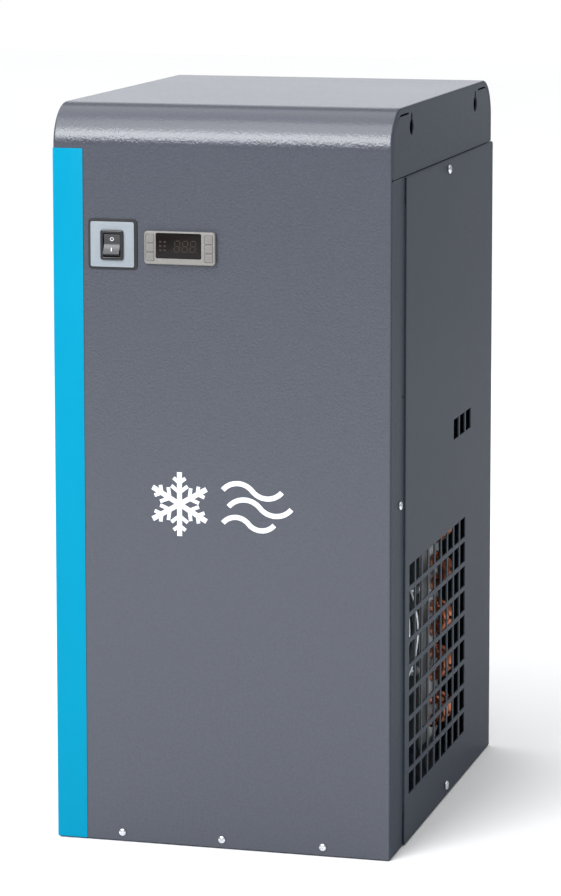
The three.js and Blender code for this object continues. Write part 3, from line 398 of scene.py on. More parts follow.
def arc(u, v, radius, start, end, steps=12):
    """Points of an arc, in degrees from the first coordinate towards the second."""
    turns = [math.radians(start + (end - start) * i / steps) for i in range(steps + 1)]
    return [(u + radius * math.cos(t), v + radius * math.sin(t)) for t in turns]


def aimed(axis):
    """The turn that brings +Z onto an axis."""
    return Vector((0, 0, 1)).rotation_difference(Vector(axis)).to_matrix().to_4x4()


def moved(bm, *matrices):
    for matrix in matrices:
        bmesh.ops.transform(bm, matrix=matrix, verts=bm.verts)
    return bm


def drum(start, end, radius, sides=40, edge=0.0, tip=None):
    """A round bar between two points, its rims eased."""
    start, end = Vector(start), Vector(end)
    bm = bmesh.new()
    bmesh.ops.create_cone(
        bm,
        cap_ends=True,
        segments=sides,
        radius1=radius,
        radius2=radius if tip is None else tip,
        depth=(end - start).length,
    )
    if edge:
        round_edges(bm, folds(bm, 60), edge, 2)
    return moved(bm, aimed(end - start), Matrix.Translation((start + end) / 2))


def lathe(profile, foot=(0, 0, 0), axis=(0, 0, 1), steps=48):
    """Turned about an axis through its foot: the profile is (radius, height) pairs."""
    bm = bmesh.new()
    points = [bm.verts.new((radius, 0, height)) for radius, height in profile]
    for first, second in zip(points, points[1:]):
        bm.edges.new((first, second))
    bmesh.ops.spin(
        bm,
        geom=bm.verts[:] + bm.edges[:],
        cent=(0, 0, 0),
        axis=(0, 0, 1),
        angle=2 * math.pi,
        steps=steps,
        use_merge=True,
    )
    bmesh.ops.remove_doubles(bm, verts=bm.verts, dist=1e-3)
    return moved(bm, aimed(axis), Matrix.Translation(foot))


def ring(radius, wire, centre, axis=(0, -1, 0), steps=96, sides=8):
    """A wire hoop."""
    bm = bmesh.new()
    bmesh.ops.create_circle(bm, segments=sides, radius=wire, matrix=Matrix.Rotation(QUARTER, 4, "X"))
    bmesh.ops.translate(bm, vec=(radius, 0, 0), verts=bm.verts)
    bmesh.ops.spin(
        bm,
        geom=bm.verts[:] + bm.edges[:],
        cent=(0, 0, 0),
        axis=(0, 0, 1),
        angle=2 * math.pi,
        steps=steps,
        use_merge=True,
    )
    return moved(bm, aimed(axis), Matrix.Translation(centre))


def together(*parts):
    bm = bmesh.new()
    for part in parts:
        mesh = bpy.data.meshes.new("part")
        part.to_mesh(mesh)
        part.free()
        bm.from_mesh(mesh)
        bpy.data.meshes.remove(mesh)
    return bm


def bent(corners, bend, steps=8):
    """A path through corners, each rounded to the bend radius."""
    corners = [Vector(c) for c in corners]
    path = [corners[0]]
    for before, corner, after in zip(corners, corners[1:], corners[2:]):
        into, out = (corner - before).normalized(), (after - corner).normalized()
        turn = into.angle(out)
        start = corner - into * bend * math.tan(turn / 2)
        inward = (out - into * into.dot(out)).normalized()
        for i in range(steps + 1):
            a = turn * i / steps
            path.append(start + into * bend * math.sin(a) + inward * bend * (1 - math.cos(a)))
    return path + [corners[-1]]


def tube(path, radius, resolution=4):
    """A round tube or wire along a path."""
    curve = bpy.data.curves.new("tube", "CURVE")
    curve.dimensions = "3D"
    curve.bevel_depth = radius
    curve.bevel_resolution = resolution
    curve.use_fill_caps = True
    spline = curve.splines.new("POLY")
    spline.points.add(len(path) - 1)
    for point, place in zip(spline.points, path):
        point.co = (*place, 1)
    holder = bpy.data.objects.new("tube", curve)
    scene.collection.objects.link(holder)
    mesh = bpy.data.meshes.new_from_object(holder)
    bm = bmesh.new()
    bm.from_mesh(mesh)
    bpy.data.objects.remove(holder)
    bpy.data.curves.remove(curve)
    bpy.data.meshes.remove(mesh)
    return bm


# ---------------------------------------------------------------- finished pieces


def made(name, bm, finish, body="cabinet", stands_for=(), sharp=35):
    """Turns a shape into a named piece that rides on a body and stands for CAD nodes."""
    bmesh.ops.remove_doubles(bm, verts=bm.verts, dist=1e-4)
    bmesh.ops.recalc_face_normals(bm, faces=bm.faces)
    bmesh.ops.scale(bm, vec=(MM, MM, MM), verts=bm.verts)
    mesh = bpy.data.meshes.new(name)
    bm.to_mesh(mesh)
    bm.free()
    mesh.materials.append(finish.material)
    mesh.shade_smooth()
    mesh.set_sharp_from_angle(angle=math.radians(sharp))
    piece = bpy.data.objects.new(name, mesh)
    scene.collection.objects.link(piece)
    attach(piece, body)
    if stands_for:
        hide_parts(*([stands_for] if isinstance(stands_for, str) else stands_for))
    return piece


def modifier(piece, kind, **settings):
    added = piece.modifiers.new(kind.lower(), kind)
    for name, value in settings.items():
        setattr(added, name, value)
    return piece


def walled(piece, thickness):
    """Gives a folded surface its sheet thickness, inwards."""
    return modifier(piece, "SOLIDIFY", thickness=thickness * MM, offset=-1, use_even_offset=True)


def eased(piece, width, segments=2, degrees=40):
    """Breaks every sharp edge and keeps the flats flat."""
    settings = {"limit_method": "ANGLE", "angle_limit": math.radians(degrees), "miter_outer": "MITER_ARC"}
    modifier(piece, "BEVEL", width=width * MM, segments=segments, **settings)
    return modifier(piece, "WEIGHTED_NORMAL", keep_sharp=True, weight=100)


def settled(piece, sharp=35):
    """Applies a piece's modifiers."""
    depsgraph = bpy.context.evaluated_depsgraph_get()
    mesh = bpy.data.meshes.new_from_object(piece.evaluated_get(depsgraph))
    piece.modifiers.clear()
    piece.data = mesh
    mesh.shade_smooth()
    mesh.set_sharp_from_angle(angle=math.radians(sharp))
    return piece


def carved(piece, *cutters, operation="DIFFERENCE"):
    """Takes each cutter out of a piece, or joins it on."""
    tools = []
    for bm in cutters:
        bmesh.ops.remove_doubles(bm, verts=bm.verts, dist=1e-4)
        bmesh.ops.recalc_face_normals(bm, faces=bm.faces)
        bmesh.ops.scale(bm, vec=(MM, MM, MM), verts=bm.verts)
        mesh = bpy.data.meshes.new("cutter")
        bm.to_mesh(mesh)
        bm.free()
        tool = bpy.data.objects.new("cutter", mesh)
        scene.collection.objects.link(tool)
        tools.append(tool)
        modifier(piece, "BOOLEAN", operation=operation, solver="EXACT", object=tool)
    settled(piece)
    for tool in tools:
        mesh = tool.data
        bpy.data.objects.remove(tool)
        bpy.data.meshes.remove(mesh)
    return piece


def fused(name, parts, finish, **facts):
    """One piece made by joining shapes that run into each other."""
    piece = made(name, parts[0], finish, **facts)
    return carved(piece, *parts[1:], operation="UNION")


def kept(node, finish, edge=0.0, smoothing=0):
    """A CAD node that shows as it is, with its finish and eased edges."""
    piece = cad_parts[node]
    piece.data.materials.clear()
    piece.data.materials.append(finish.material)
    modifier(piece, "WELD", merge_threshold=1e-5)
    if smoothing:
        modifier(piece, "SUBSURF", levels=smoothing, render_levels=smoothing)
    if edge:
        eased(piece, edge)
    return piece


# ---------------------------------------------------------------- front and top cover

SHEET = 1.5
SEAM = 0.8
COVER_LOW, COVER_HIGH = span("front_top_cover")
FRONT, REAR = COVER_LOW.y, COVER_HIGH.y
TOP = COVER_HIGH.z
COVER_RADIUS = 42
HOOD_Z = TOP - 70  # foot of the cheeks
FLANGE_END = FRONT + 56.5
KEYHOLE_INSET = 86.5  # from the front and from the rear
SCREW_HOLE = 2.6


def slit_outline(facing):
    """The relief slit inside one top bend, on the front (facing 1) or the rear (facing -1)."""
    rim = 7
    outer = COVER_RADIUS - rim
    inner = outer - SEAM
    bend_y, bend_z = FRONT + COVER_RADIUS, TOP - COVER_RADIUS
    slot_start, slot_end = bend_y - 7, bend_y + 31
    slot_floor = bend_z + outer - 2
    narrowing = math.degrees(math.acos((slot_start - bend_y) / inner))
    outline = [(slot_end, slot_floor)]
    outline += arc(bend_y, bend_z, outer, 90, 180)
    outline.insert(1, (slot_end, bend_z + outer))
    outline += [(bend_y - outer, HOOD_Z - SEAM / 2), (bend_y - inner, HOOD_Z - SEAM / 2)]
    outline += arc(bend_y, bend_z, inner, 180, narrowing)
    outline.append((slot_start, slot_floor))
    return [(facing * y, z) for y, z in outline]


def keyhole_outline(y):
    mouth, slot = 8.5, 3.5
    mouth_z, slot_z = TOP - 22.5, TOP - 8 - slot
    start = math.degrees(math.asin(slot / mouth))
    around = arc(y, mouth_z, mouth, 90 + start, 450 - start, 30)
    return around + arc(y, slot_z, slot, 0, 180)


def front_top_cover():
    low, high = COVER_LOW, COVER_HIGH
    bend_z = TOP - COVER_RADIUS
    outline = [
        (FRONT, low.z),
        *arc(FRONT + COVER_RADIUS, bend_z, COVER_RADIUS, 180, 90, 30),
        *arc(REAR - COVER_RADIUS, bend_z, COVER_RADIUS, 90, 0, 30),
        (REAR, HOOD_Z),
        (FLANGE_END, HOOD_Z),
        (FLANGE_END, low.z),
    ]
    bm = prism(outline, X, low.x, high.x)

    def is_open(face):
        return face.normal.z < -0.9 or (face.normal.y > 0.9 and face.calc_center_median().y < 0)

    def is_side(face):
        return abs(face.normal.x) > 0.99

    rims = [
        e
        for e in bm.edges
        if sum(is_side(f) for f in e.link_faces) == 1 and not any(is_open(f) for f in e.link_faces)
    ]
    round_edges(bm, rims, 2.2, 4)
    bmesh.ops.delete(bm, geom=[f for f in bm.faces if is_open(f)], context="FACES")
    cover = walled(made("folded_cover", bm, FRONT_PAINT, stands_for="front_top_cover"), SHEET)
    left, right = low.x - 1, high.x + 1

    def through(y, z, radius):
        return drum((left, y, z), (right, y, z), radius, 24)

    switch, controller = middle("switch_body"), middle("controller_housing")
    screws = [middle(f"front_screw_{side}") for side in ("left", "middle", "right")]
    flange_screw = middle("right_flange_screw")
    carved(
        cover,
        block((left, FRONT + SHEET, HOOD_Z - SEAM), (right, FLANGE_END + 1, HOOD_Z)),
        prism(slit_outline(1), X, left, right),
        prism(slit_outline(-1), X, left, right),
        prism(keyhole_outline(FRONT + KEYHOLE_INSET), X, left, right),
        prism(keyhole_outline(REAR - KEYHOLE_INSET), X, left, right),
        through(FRONT + 3.6, HOOD_Z - 0.1, 1.7),
        through(FRONT + 50, TOP - 294, 2.2),
        through(flange_screw.y, flange_screw.z, SCREW_HOLE),
        brick((switch.x, FRONT, switch.z), (21, 8, 28)),
        brick((controller.x, FRONT, controller.z), (71, 8, 29)),
        *[drum((s.x, FRONT - 2, s.z), (s.x, FRONT + 4, s.z), SCREW_HOLE, 24) for s in screws],
    )
    # The sideways-facing cheeks of the same painted sheet take the shaded copy of the paint: painted shade.
    cover.data.materials.append(SHADED_SIDE_PAINT.material)
    for face in cover.data.polygons:
        face.material_index = int(abs(face.normal.x) > 0.75)
    modifier(cover, "WEIGHTED_NORMAL", keep_sharp=True, weight=100)


def accent_strip():
    low, high = span("accent_strip")
    made("cyan_strip", rounded(low, high, 0.6, 0.12, segments=3), CYAN, stands_for="accent_strip")


def flow_ribbon(x, z, run, width, depth):
    """A wavy stroke of ink: three bends of one radius, with round ends."""
    bend = run / 4 / math.sin(math.radians(50))
    bm = bmesh.new()
    ends = [bm.verts.new((x, depth, z + side * width / 2)) for side in (-1, 1)]
    last = [*ends, bm.edges.new(ends)]
    drop = bend * math.cos(math.radians(50))
    centres = [(x + run / 4, z - drop), (x + 3 * run / 4, z + drop)]
    tilt = Matrix.Rotation(math.radians(50), 3, "Y")
    for v in ends:
        v.co = Vector((x, depth, z)) + tilt.inverted() @ (v.co - Vector((x, depth, z)))
    for i, (cx, cz) in enumerate(centres):
        swing = math.radians(100) * (1 if i == 0 else -1)
        spun = bmesh.ops.spin(
            bm, geom=last, cent=(cx, depth, cz), axis=(0, 1, 0), angle=swing, steps=14, use_duplicate=False
        )
        last = spun["geom_last"]
    for tip in (ends, [v for v in last if isinstance(v, bmesh.types.BMVert)]):
        middle_of = (tip[0].co + tip[1].co) / 2
        bmesh.ops.spin(
            bm,
            geom=[tip[0]],
            cent=middle_of,
            axis=(0, 1, 0),
            angle=math.pi if tip is ends else -math.pi,
            steps=12,
            use_duplicate=False,
        )
    return bm


def front_graphic():
    """A snow crystal beside three strokes of moving air."""
    thickness = 0.25
    back = FRONT - 0.02
    centre = Vector((-44, back, 358))
    stroke = 5.2
    crystal = []
    for i in range(6):
        arm = [block((-stroke / 2, back - thickness, 0), (stroke / 2, back, 33))]
        for reach, length in ((12, 11), (22, 8)):
            for side in (-1, 1):
                twig = block((-stroke * 0.36, back - thickness, 0), (stroke * 0.36, back, length))
                turn = Matrix.Translation((0, 0, reach)) @ Matrix.Rotation(math.radians(side * 52), 4, "Y")
                arm.append(moved(twig, turn))
        turn = Matrix.Translation((centre.x, 0, centre.z)) @ Matrix.Rotation(i * math.pi / 3, 4, "Y")
        crystal += [moved(part, turn) for part in arm]
    fused("crystal_graphic", crystal, WHITE_INK)
    strokes = []
    for lift, start, run in ((17, 2, 62), (0, 8, 66), (-17, 2, 54)):
        ribbon = flow_ribbon(start, centre.z + lift, run, stroke, back)
        drawn = bmesh.ops.extrude_face_region(ribbon, geom=ribbon.faces[:])["geom"]
        raised = [v for v in drawn if isinstance(v, bmesh.types.BMVert)]
        bmesh.ops.translate(ribbon, vec=(0, -thickness, 0), verts=raised)
        strokes.append(ribbon)
    made("airflow_graphic", together(*strokes), WHITE_INK)


# ---------------------------------------------------------------- side, rear and base sheets

HOLE = (25, 22)  # of the grille, along the depth and up
GRILLE_PITCH = (30.5, 27.4)
GRILLE_START = (FRONT + 76, 50)
GRILLE_COUNT = 9


def sliced(bm, axis, places):
    normal = Vector((0, 0, 0))
    normal[axis] = 1
    for place in places:
        geom = bm.verts[:] + bm.edges[:] + bm.faces[:]
        bmesh.ops.bisect_plane(bm, geom=geom, plane_co=normal * place, plane_no=normal)
    return bm


def pierced(bm, axes, holes):
    """Opens rectangular holes, each (first coordinate, second coordinate, width, height), in a flat sheet."""
    first, second = axes
    sliced(bm, first, sorted({round(a, 4) for u, v, w, h in holes for a in (u, u + w)}))
    sliced(bm, second, sorted({round(b, 4) for u, v, w, h in holes for b in (v, v + h)}))
    flat = 3 - first - second
    gone = []
    for face in bm.faces:
        middle_of = face.calc_center_median()
        if abs(face.normal[flat]) < 0.99:
            continue
        for u, v, w, h in holes:
            if u < middle_of[first] < u + w and v < middle_of[second] < v + h:
                gone.append(face)
                break
    bmesh.ops.delete(bm, geom=gone, context="FACES")
    return bm


def grille_holes():
    start_y, start_z = GRILLE_START
    pitch_y, pitch_z = GRILLE_PITCH
    count = range(GRILLE_COUNT)
    holes = [(start_y + i * pitch_y, start_z + j * pitch_z, *HOLE) for i in count for j in count]
    vent_y = start_y + 6.83 * pitch_y
    vent_z = start_z + (GRILLE_COUNT + 3.28) * pitch_z
    return holes + [(vent_y + i * pitch_y, vent_z, *HOLE) for i in range(3)]


def side_panel(side):
    label = "right" if side > 0 else "left"
    node = f"{label}_side_panel"
    low, high = span(node)
    outer = high.x if side > 0 else -low.x
    front = FLANGE_END + SEAM
    bm = block((outer - 22, front, low.z), (outer, high.y, high.z))
    bmesh.ops.delete(bm, geom=[f for f in bm.faces if min(f.normal) < -0.9], context="FACES")
    corners = [e for e in bm.edges if len(e.link_faces) == 2]
    round_edges(bm, corners, 2, 4)
    notch = (high.y - 6, high.z - 9, 3, 6.5)
    pierced(bm, (Y, Z), [*grille_holes(), notch])
    if side < 0:
        bmesh.ops.scale(bm, vec=(-1, 1, 1), verts=bm.verts)
    panel = walled(made(f"{label}_panel", bm, SHADED_SIDE_PAINT, stands_for=node), SHEET)
    screws = [middle(f"{label}_panel_screw_{place}") for place in ("bottom", "top")]
    carved(panel, *[drum((s.x - 9, s.y, s.z), (s.x + 9, s.y, s.z), SCREW_HOLE, 24) for s in screws])
    eased(panel, 0.3, 2, 50)
    under = COVER_HIGH.x - SHEET - 0.3  # just behind the cover's flange
    lap_end = front - 26
    lap = [
        (outer - SHEET + 0.2, front + 0.1),
        (outer - SHEET + 0.2, front + SHEET),
        (under - SHEET, front + SHEET),
        (under - SHEET, lap_end),
        (under, lap_end),
        (under, front + 0.1),
    ]
    strip = prism(lap, Z, 40, high.z - 30)
    if side < 0:
        bmesh.ops.scale(strip, vec=(-1, 1, 1), verts=strip.verts)
    made(f"{label}_panel_lap", strip, SHADED_SIDE_PAINT)


def rear_panel():
    low, high = span("rear_panel")
    bm = bmesh.new()
    bmesh.ops.create_grid(bm, x_segments=1, y_segments=1, size=0.5)
    size = Matrix.Diagonal((high.x - low.x, high.z - low.z, 1, 1))
    centre = Vector(((low.x + high.x) / 2, high.y, (low.z + high.z) / 2))
    moved(bm, size, Matrix.Rotation(QUARTER, 4, "X"), Matrix.Translation(centre))
    holes = [(-62 + i * 32, 50 + j * GRILLE_PITCH[1], *HOLE) for i in range(5) for j in range(7)]
    pierced(bm, (X, Z), holes)
    panel = made("back_panel", bm, SHADED_SIDE_PAINT, stands_for="rear_panel")
    if panel.data.polygons[0].normal.y < 0:
        panel.data.flip_normals()
    walled(panel, SHEET)
    ports = [(middle(f"air_{end}_fitting"), 22) for end in ("inlet", "outlet")]
    ports += [(middle("cable_gland"), 10.8), (middle("drain_outlet"), 7.8)]
    carved(panel, *[drum((p.x, low.y - 3, p.z), (p.x, high.y + 3, p.z), r, 48) for p, r in ports])
    eased(panel, 0.25, 2, 50)


# ---------------------------------------------------------------- fasteners


def screw_shape(head, height, shank, length):
    """A pan-head screw about +Z with a cross recess, its head's underside at zero."""
    profile = [(0, -length), (shank * 0.6, -length), (shank, -length + 1.2), (shank, 0), (head * 0.97, 0)]
    profile += [(head, height * 0.12), (head, height * 0.34)]
    dome = (0.35, 0.65, 0.95, 1.2, 1.4)
    profile += [(head * math.cos(a), height * (0.34 + 0.66 * math.sin(a))) for a in dome]
    profile.append((0, height))
    return lathe(profile, steps=36)


def recess_cutter(head, height):
    wing = head * 0.28
    reach = head * 0.62
    first = brick((0, 0, height * 0.85), (2 * reach, wing, height * 0.9))
    second = brick((0, 0, height * 0.85), (wing, 2 * reach, height * 0.9))
    return first, second


def pan_screw(name, head, height, shank, length, matrix, stands_for=()):
    piece = made(name, screw_shape(head, height, shank, length), ZINC, stands_for=stands_for, sharp=50)
    carved(piece, *recess_cutter(head, height))
    to_metres = Matrix.Diagonal((MM, MM, MM, 1))
    piece.data.transform(to_metres @ matrix @ to_metres.inverted())
    eased(piece, 0.12, 2, 50)


def screws():
    spin = random.Random(7)

    def turned():
        return Matrix.Rotation(spin.uniform(0, math.pi), 4, "Z")

    for side in ("left", "middle", "right"):
        place = middle(f"front_screw_{side}")
        seat = Matrix.Translation((place.x, FRONT - 0.3, place.z))
        turn = aimed((0, -1, 0)) @ turned()
        pan_screw(f"front_{side}_screw", 3.8, 2.4, 2, 7, seat @ turn, f"front_screw_{side}")
    for side, sign in (("left", -1), ("right", 1)):
        for end in ("bottom", "top"):
            node = f"{side}_panel_screw_{end}"
            low, high = span(node)
            face = (low if sign < 0 else high).x - sign * 3
            seat = Matrix.Translation((face, middle(node).y, middle(node).z))
            turn = aimed((sign, 0, 0)) @ turned()
            pan_screw(f"{side}_{end}_panel_screw", 4.8, 3, 2.1, 8, seat @ turn, node)
        node = f"{side}_flange_screw"
        low, high = span(node)
        face = (low if sign < 0 else high).x - sign * 2.6
        seat = Matrix.Translation((face, middle(node).y, middle(node).z))
        turn = aimed((sign, 0, 0)) @ turned()
        pan_screw(f"{side}_flange_pan_screw", 4.4, 2.6, 2, 7, seat @ turn, node)
    fold = span("right_side_panel")[1].y
    for side, sign in (("left", -1), ("right", 1)):
        for level, z in (("low", 36), ("centre", 352), ("high", 664)):
            seat = Matrix.Translation((sign * 164, fold + 0.1, z))
            turn = aimed((0, 1, 0)) @ turned()
            pan_screw(f"rear_{side}_{level}_screw", 4.2, 2.4, 2, 6, seat @ turn)


# ---------------------------------------------------------------- mains switch


def mains_switch():
    body_low, body_high = span("switch_body")
    centre = middle("switch_body")
    hole = brick((centre.x, FRONT, centre.z), (21, 30, 28))
    low, high = span("switch_gasket")
    gasket = made("switch_seal", rounded(low, high, 4, 0.35), RUBBER, stands_for="switch_gasket")
    carved(gasket, hole.copy())
    low, high = span("switch_plate")
    plate = made("switch_label_plate", rounded(low, high, 2, 0.3), LABEL, stands_for="switch_plate")
    carved(plate, hole)
    well = (18.4, 60, 24.1)
    bezel_back = body_low.y + 2.2
    bezel_shape = rounded(body_low, (body_high.x, bezel_back, body_high.z), 2.6, 0)
    rim = [e for e in folds(bezel_shape) if max(v.co.y for v in e.verts) < body_low.y + 0.1]
    round_edges(bezel_shape, rim, 1.3, 5)
    bezel = made("switch_bezel", bezel_shape, GLOSS_BLACK, stands_for="switch_body")
    carved(bezel, brick((centre.x, FRONT, centre.z), well))
    eased(bezel, 0.35, 3, 50)
    reach = Vector((10, 0, 13.5))
    start, end = Vector((centre.x, bezel_back - 0.2, centre.z)), Vector((centre.x, body_high.y, centre.z))
    shell = block(start - reach, end + reach)
    housing = made("switch_housing", shell, SATIN_BLACK)
    carved(housing, brick((centre.x, FRONT - 10, centre.z), well))
    tab = (0.8, 10, 6)
    terminals = [
        brick((centre.x + dx, body_high.y + 4, centre.z + dz), tab) for dx in (-5, 5) for dz in (-8, 0, 8)
    ]
    made("switch_terminals", together(*terminals), BRASS)


ROCKER_RADIUS = 11.6
ROCKER_REST = math.radians(-12)


def rocker():
    low, high = span("switch_rocker")
    half = (high.x - low.x) / 2
    centre = Vector(((low.x + high.x) / 2, span("switch_body")[0].y + 5, middle("switch_body").z))
    edge, back, valley = 58, 112, 3.4

    def at(degrees):
        turn = math.radians(degrees)
        return -ROCKER_RADIUS * math.cos(turn), ROCKER_RADIUS * math.sin(turn)

    crown = [at(edge + (back - edge) * i / 8) for i in range(9)]
    heel = [at(-back + (back - edge) * i / 8) for i in range(9)]
    tip_y, tip_z = at(edge)
    dish = 0.55  # how far each half of the face is hollowed
    face = []
    for i in range(-11, 12):
        share = abs(i) / 12
        y = -valley + (tip_y + valley) * share + dish * math.sin(math.pi * share)
        face.append((y, tip_z * i / 12))
    shape = prism(crown + heel + face, X, -half, half)
    rest = Matrix.Translation(centre) @ Matrix.Rotation(ROCKER_REST, 4, "X")
    piece = made("rocker_cap", moved(shape, rest), ROCKER_BLACK, "rocker", "switch_rocker", 28)
    eased(piece, 0.5, 3, 32)

    def on_face(z, lift=0.0):
        share = abs(z) / tip_z
        return -valley + (tip_y + valley) * share + dish * math.sin(math.pi * share) - lift

    slope = math.atan2(tip_y + valley, tip_z)
    marks = []
    z = 5.4
    circle = ring(1.6, 0.42, (0, 0, 0), sides=6, steps=32)
    lean = Matrix.Rotation(-slope, 4, "X")
    marks.append(moved(circle, lean, Matrix.Translation((0, on_face(z, -0.05), z))))
    bar = brick((0, 0, 0), (0.85, 0.5, 3.8))
    lean = Matrix.Rotation(slope, 4, "X")
    marks.append(moved(bar, lean, Matrix.Translation((0, on_face(-z, 0.0), -z))))
    made("rocker_marks", moved(together(*marks), rest), MARK_INK, "rocker")
    ridges = []
    for i in range(4):
        z = tip_z - 0.9 - 0.75 * i
        ridges.append(drum((-half + 1.6, on_face(z, -0.05), z), (half - 1.6, on_face(z, -0.05), z), 0.26, 10))
    made("rocker_ridges", moved(together(*ridges), rest), SATIN_BLACK, "rocker")


# ---------------------------------------------------------------- electronic controller

KEYS = [(column, row) for column in ("left", "right") for row in ("top", "middle", "bottom")]


def controller():
    low, high = span("controller_frame")
    shape = rounded(low, high, 3.2, 0)
    rim = [e for e in folds(shape) if max(v.co.y for v in e.verts) < low.y + 0.1]
    round_edges(shape, rim, 0.9, 4)
    housing = made("controller_bezel", shape, SILVER_PLASTIC, stands_for="controller_frame")
    lens_low, lens_high = span("controller_lens")
    reach = Vector((0.2, 12, 0.2))
    cutters = [rounded(lens_low - reach, lens_high + reach, 1.6, 0, segments=5)]
    for column, row in KEYS:
        key_low, key_high = span(f"key_{column}_{row}")
        cutters.append(rounded(key_low - reach, key_high + reach, 1.1, 0, segments=4))
    carved(housing, *cutters)
    eased(housing, 0.22, 2, 50)
    window = rounded(lens_low, lens_high, 1.4, 0.25)
    made("controller_window", window, ACRYLIC, stands_for="controller_lens")
    for column, row in KEYS:
        node = f"key_{column}_{row}"
        key_low, key_high = span(node)
        key = rounded(key_low, key_high, 1.0, 0)
        rim = [e for e in folds(key) if max(v.co.y for v in e.verts) < key_low.y + 0.1]
        round_edges(key, rim, 0.55, 4)
        made(f"button_{column}_{row}", key, KEY_PLASTIC, node, node)
    display(lens_low, lens_high)


def segment_bar(x, z, length, upright_bar, depth):
    """One bar of a figure, with pointed ends."""
    half, thick = length / 2, 0.42
    flat = half - thick
    outline = [(-half, 0), (-flat, thick), (flat, thick), (half, 0), (flat, -thick), (-flat, -thick)]
    placed = [(x + v, z + u) if upright_bar else (x + u, z + v) for u, v in outline]
    return prism(placed, Y, depth, depth - 0.04)


def display(low, high):
    """Three unlit figures, their points and a few lamp windows, just proud of the smoked window."""
    depth = low.y + 0.01
    centre_z = (low.z + high.z) / 2 - 0.4
    wide, tall, pitch = 5.3, 11.2, 8.3
    lean = 0.13
    parts = []
    for i in range(3):
        x = high.x - 25.4 + i * pitch
        bars = [segment_bar(x, centre_z + dz, wide - 0.9, False, depth) for dz in (-tall / 2, 0, tall / 2)]
        for dx in (-wide / 2, wide / 2):
            for dz in (-tall / 4, tall / 4):
                bars.append(segment_bar(x + dx, centre_z + dz, tall / 2 - 0.9, True, depth))
        figure = together(*bars)
        for vert in figure.verts:
            vert.co.x += (vert.co.z - centre_z) * lean
        parts.append(figure)
        dot = (x + wide / 2 + 0.9, centre_z - tall / 2)
        parts.append(drum((dot[0], depth, dot[1]), (dot[0], depth - 0.04, dot[1]), 0.5, 16))
    for column in range(2):
        for row in range(3):
            x = low.x + 4.6 + column * 4.6
            z = centre_z + (1 - row) * 4.3
            low_corner, high_corner = (x - 1.3, depth - 0.04, z - 0.9), (x + 1.3, depth, z + 0.9)
            parts.append(rounded(low_corner, high_corner, 0.5, 0, segments=3))
    made("display_figures", together(*parts), DIGIT_INK)


# ---------------------------------------------------------------- condenser and fan


def condenser():
    frame_low, frame_high = span("condenser_frame")
    kept("condenser_frame", GALVANISED, 0.35)
    low, high = span("condenser_fins")
    fin = block((low.x, low.y, low.z), (low.x + 0.25, high.y, high.z))
    sliced(fin, Y, [low.y + (high.y - low.y) * share for share in (0.25, 0.5, 0.75)])
    for vert in fin.verts:
        share = (vert.co.y - low.y) / (high.y - low.y)
        vert.co.x += 0.45 * math.sin(share * 2 * math.pi)
    pack = made("fin_pack", fin, FINS, stands_for="condenser_fins")
    pitch = 2.4
    count = int((high.x - low.x) / pitch)
    modifier(
        pack,
        "ARRAY",
        count=count,
        use_relative_offset=False,
        use_constant_offset=True,
        constant_offset_displace=(pitch * MM, 0, 0),
    )
    coil_low, coil_high = span("condenser_tube")
    radius, pitch = 4.75, 25.4
    columns = [coil_low.y + radius, coil_high.y - radius]
    left, right = frame_low.x - pitch / 2 - 1, frame_high.x + pitch / 2 + 1
    rows = [coil_high.z - radius - i * pitch for i in range(round((coil_high.z - coil_low.z) / pitch) + 1)]
    rows = [z for z in rows if z > coil_low.z]
    stops = [(columns[0], z) for z in rows] + [(columns[1], z) for z in reversed(rows)]
    corners = [Vector((coil_low.x, *stops[0]))]
    for i, (here, there) in enumerate(zip(stops, stops[1:])):
        end = right if i % 2 == 0 else left
        corners += [Vector((end, *here)), Vector((end, *there))]
    corners.append(Vector((coil_low.x, *stops[-1])))
    bend = min(pitch, columns[1] - columns[0]) / 2 - 0.01
    made("condenser_coil", tube(bent(corners, bend), radius), COPPER, stands_for="condenser_tube")
    collars = []
    neck = [(radius, 0.4), (radius + 2.6, 0.2), (radius + 1.1, 2), (radius + 0.9, 6.2), (radius, 6.4)]
    for face, way in ((frame_low.x, -1), (frame_high.x, 1)):
        for y, z in stops:
            collars.append(lathe(neck, (face, y, z), (way, 0, 0), 20))
    made("coil_collars", together(*collars), COPPER)


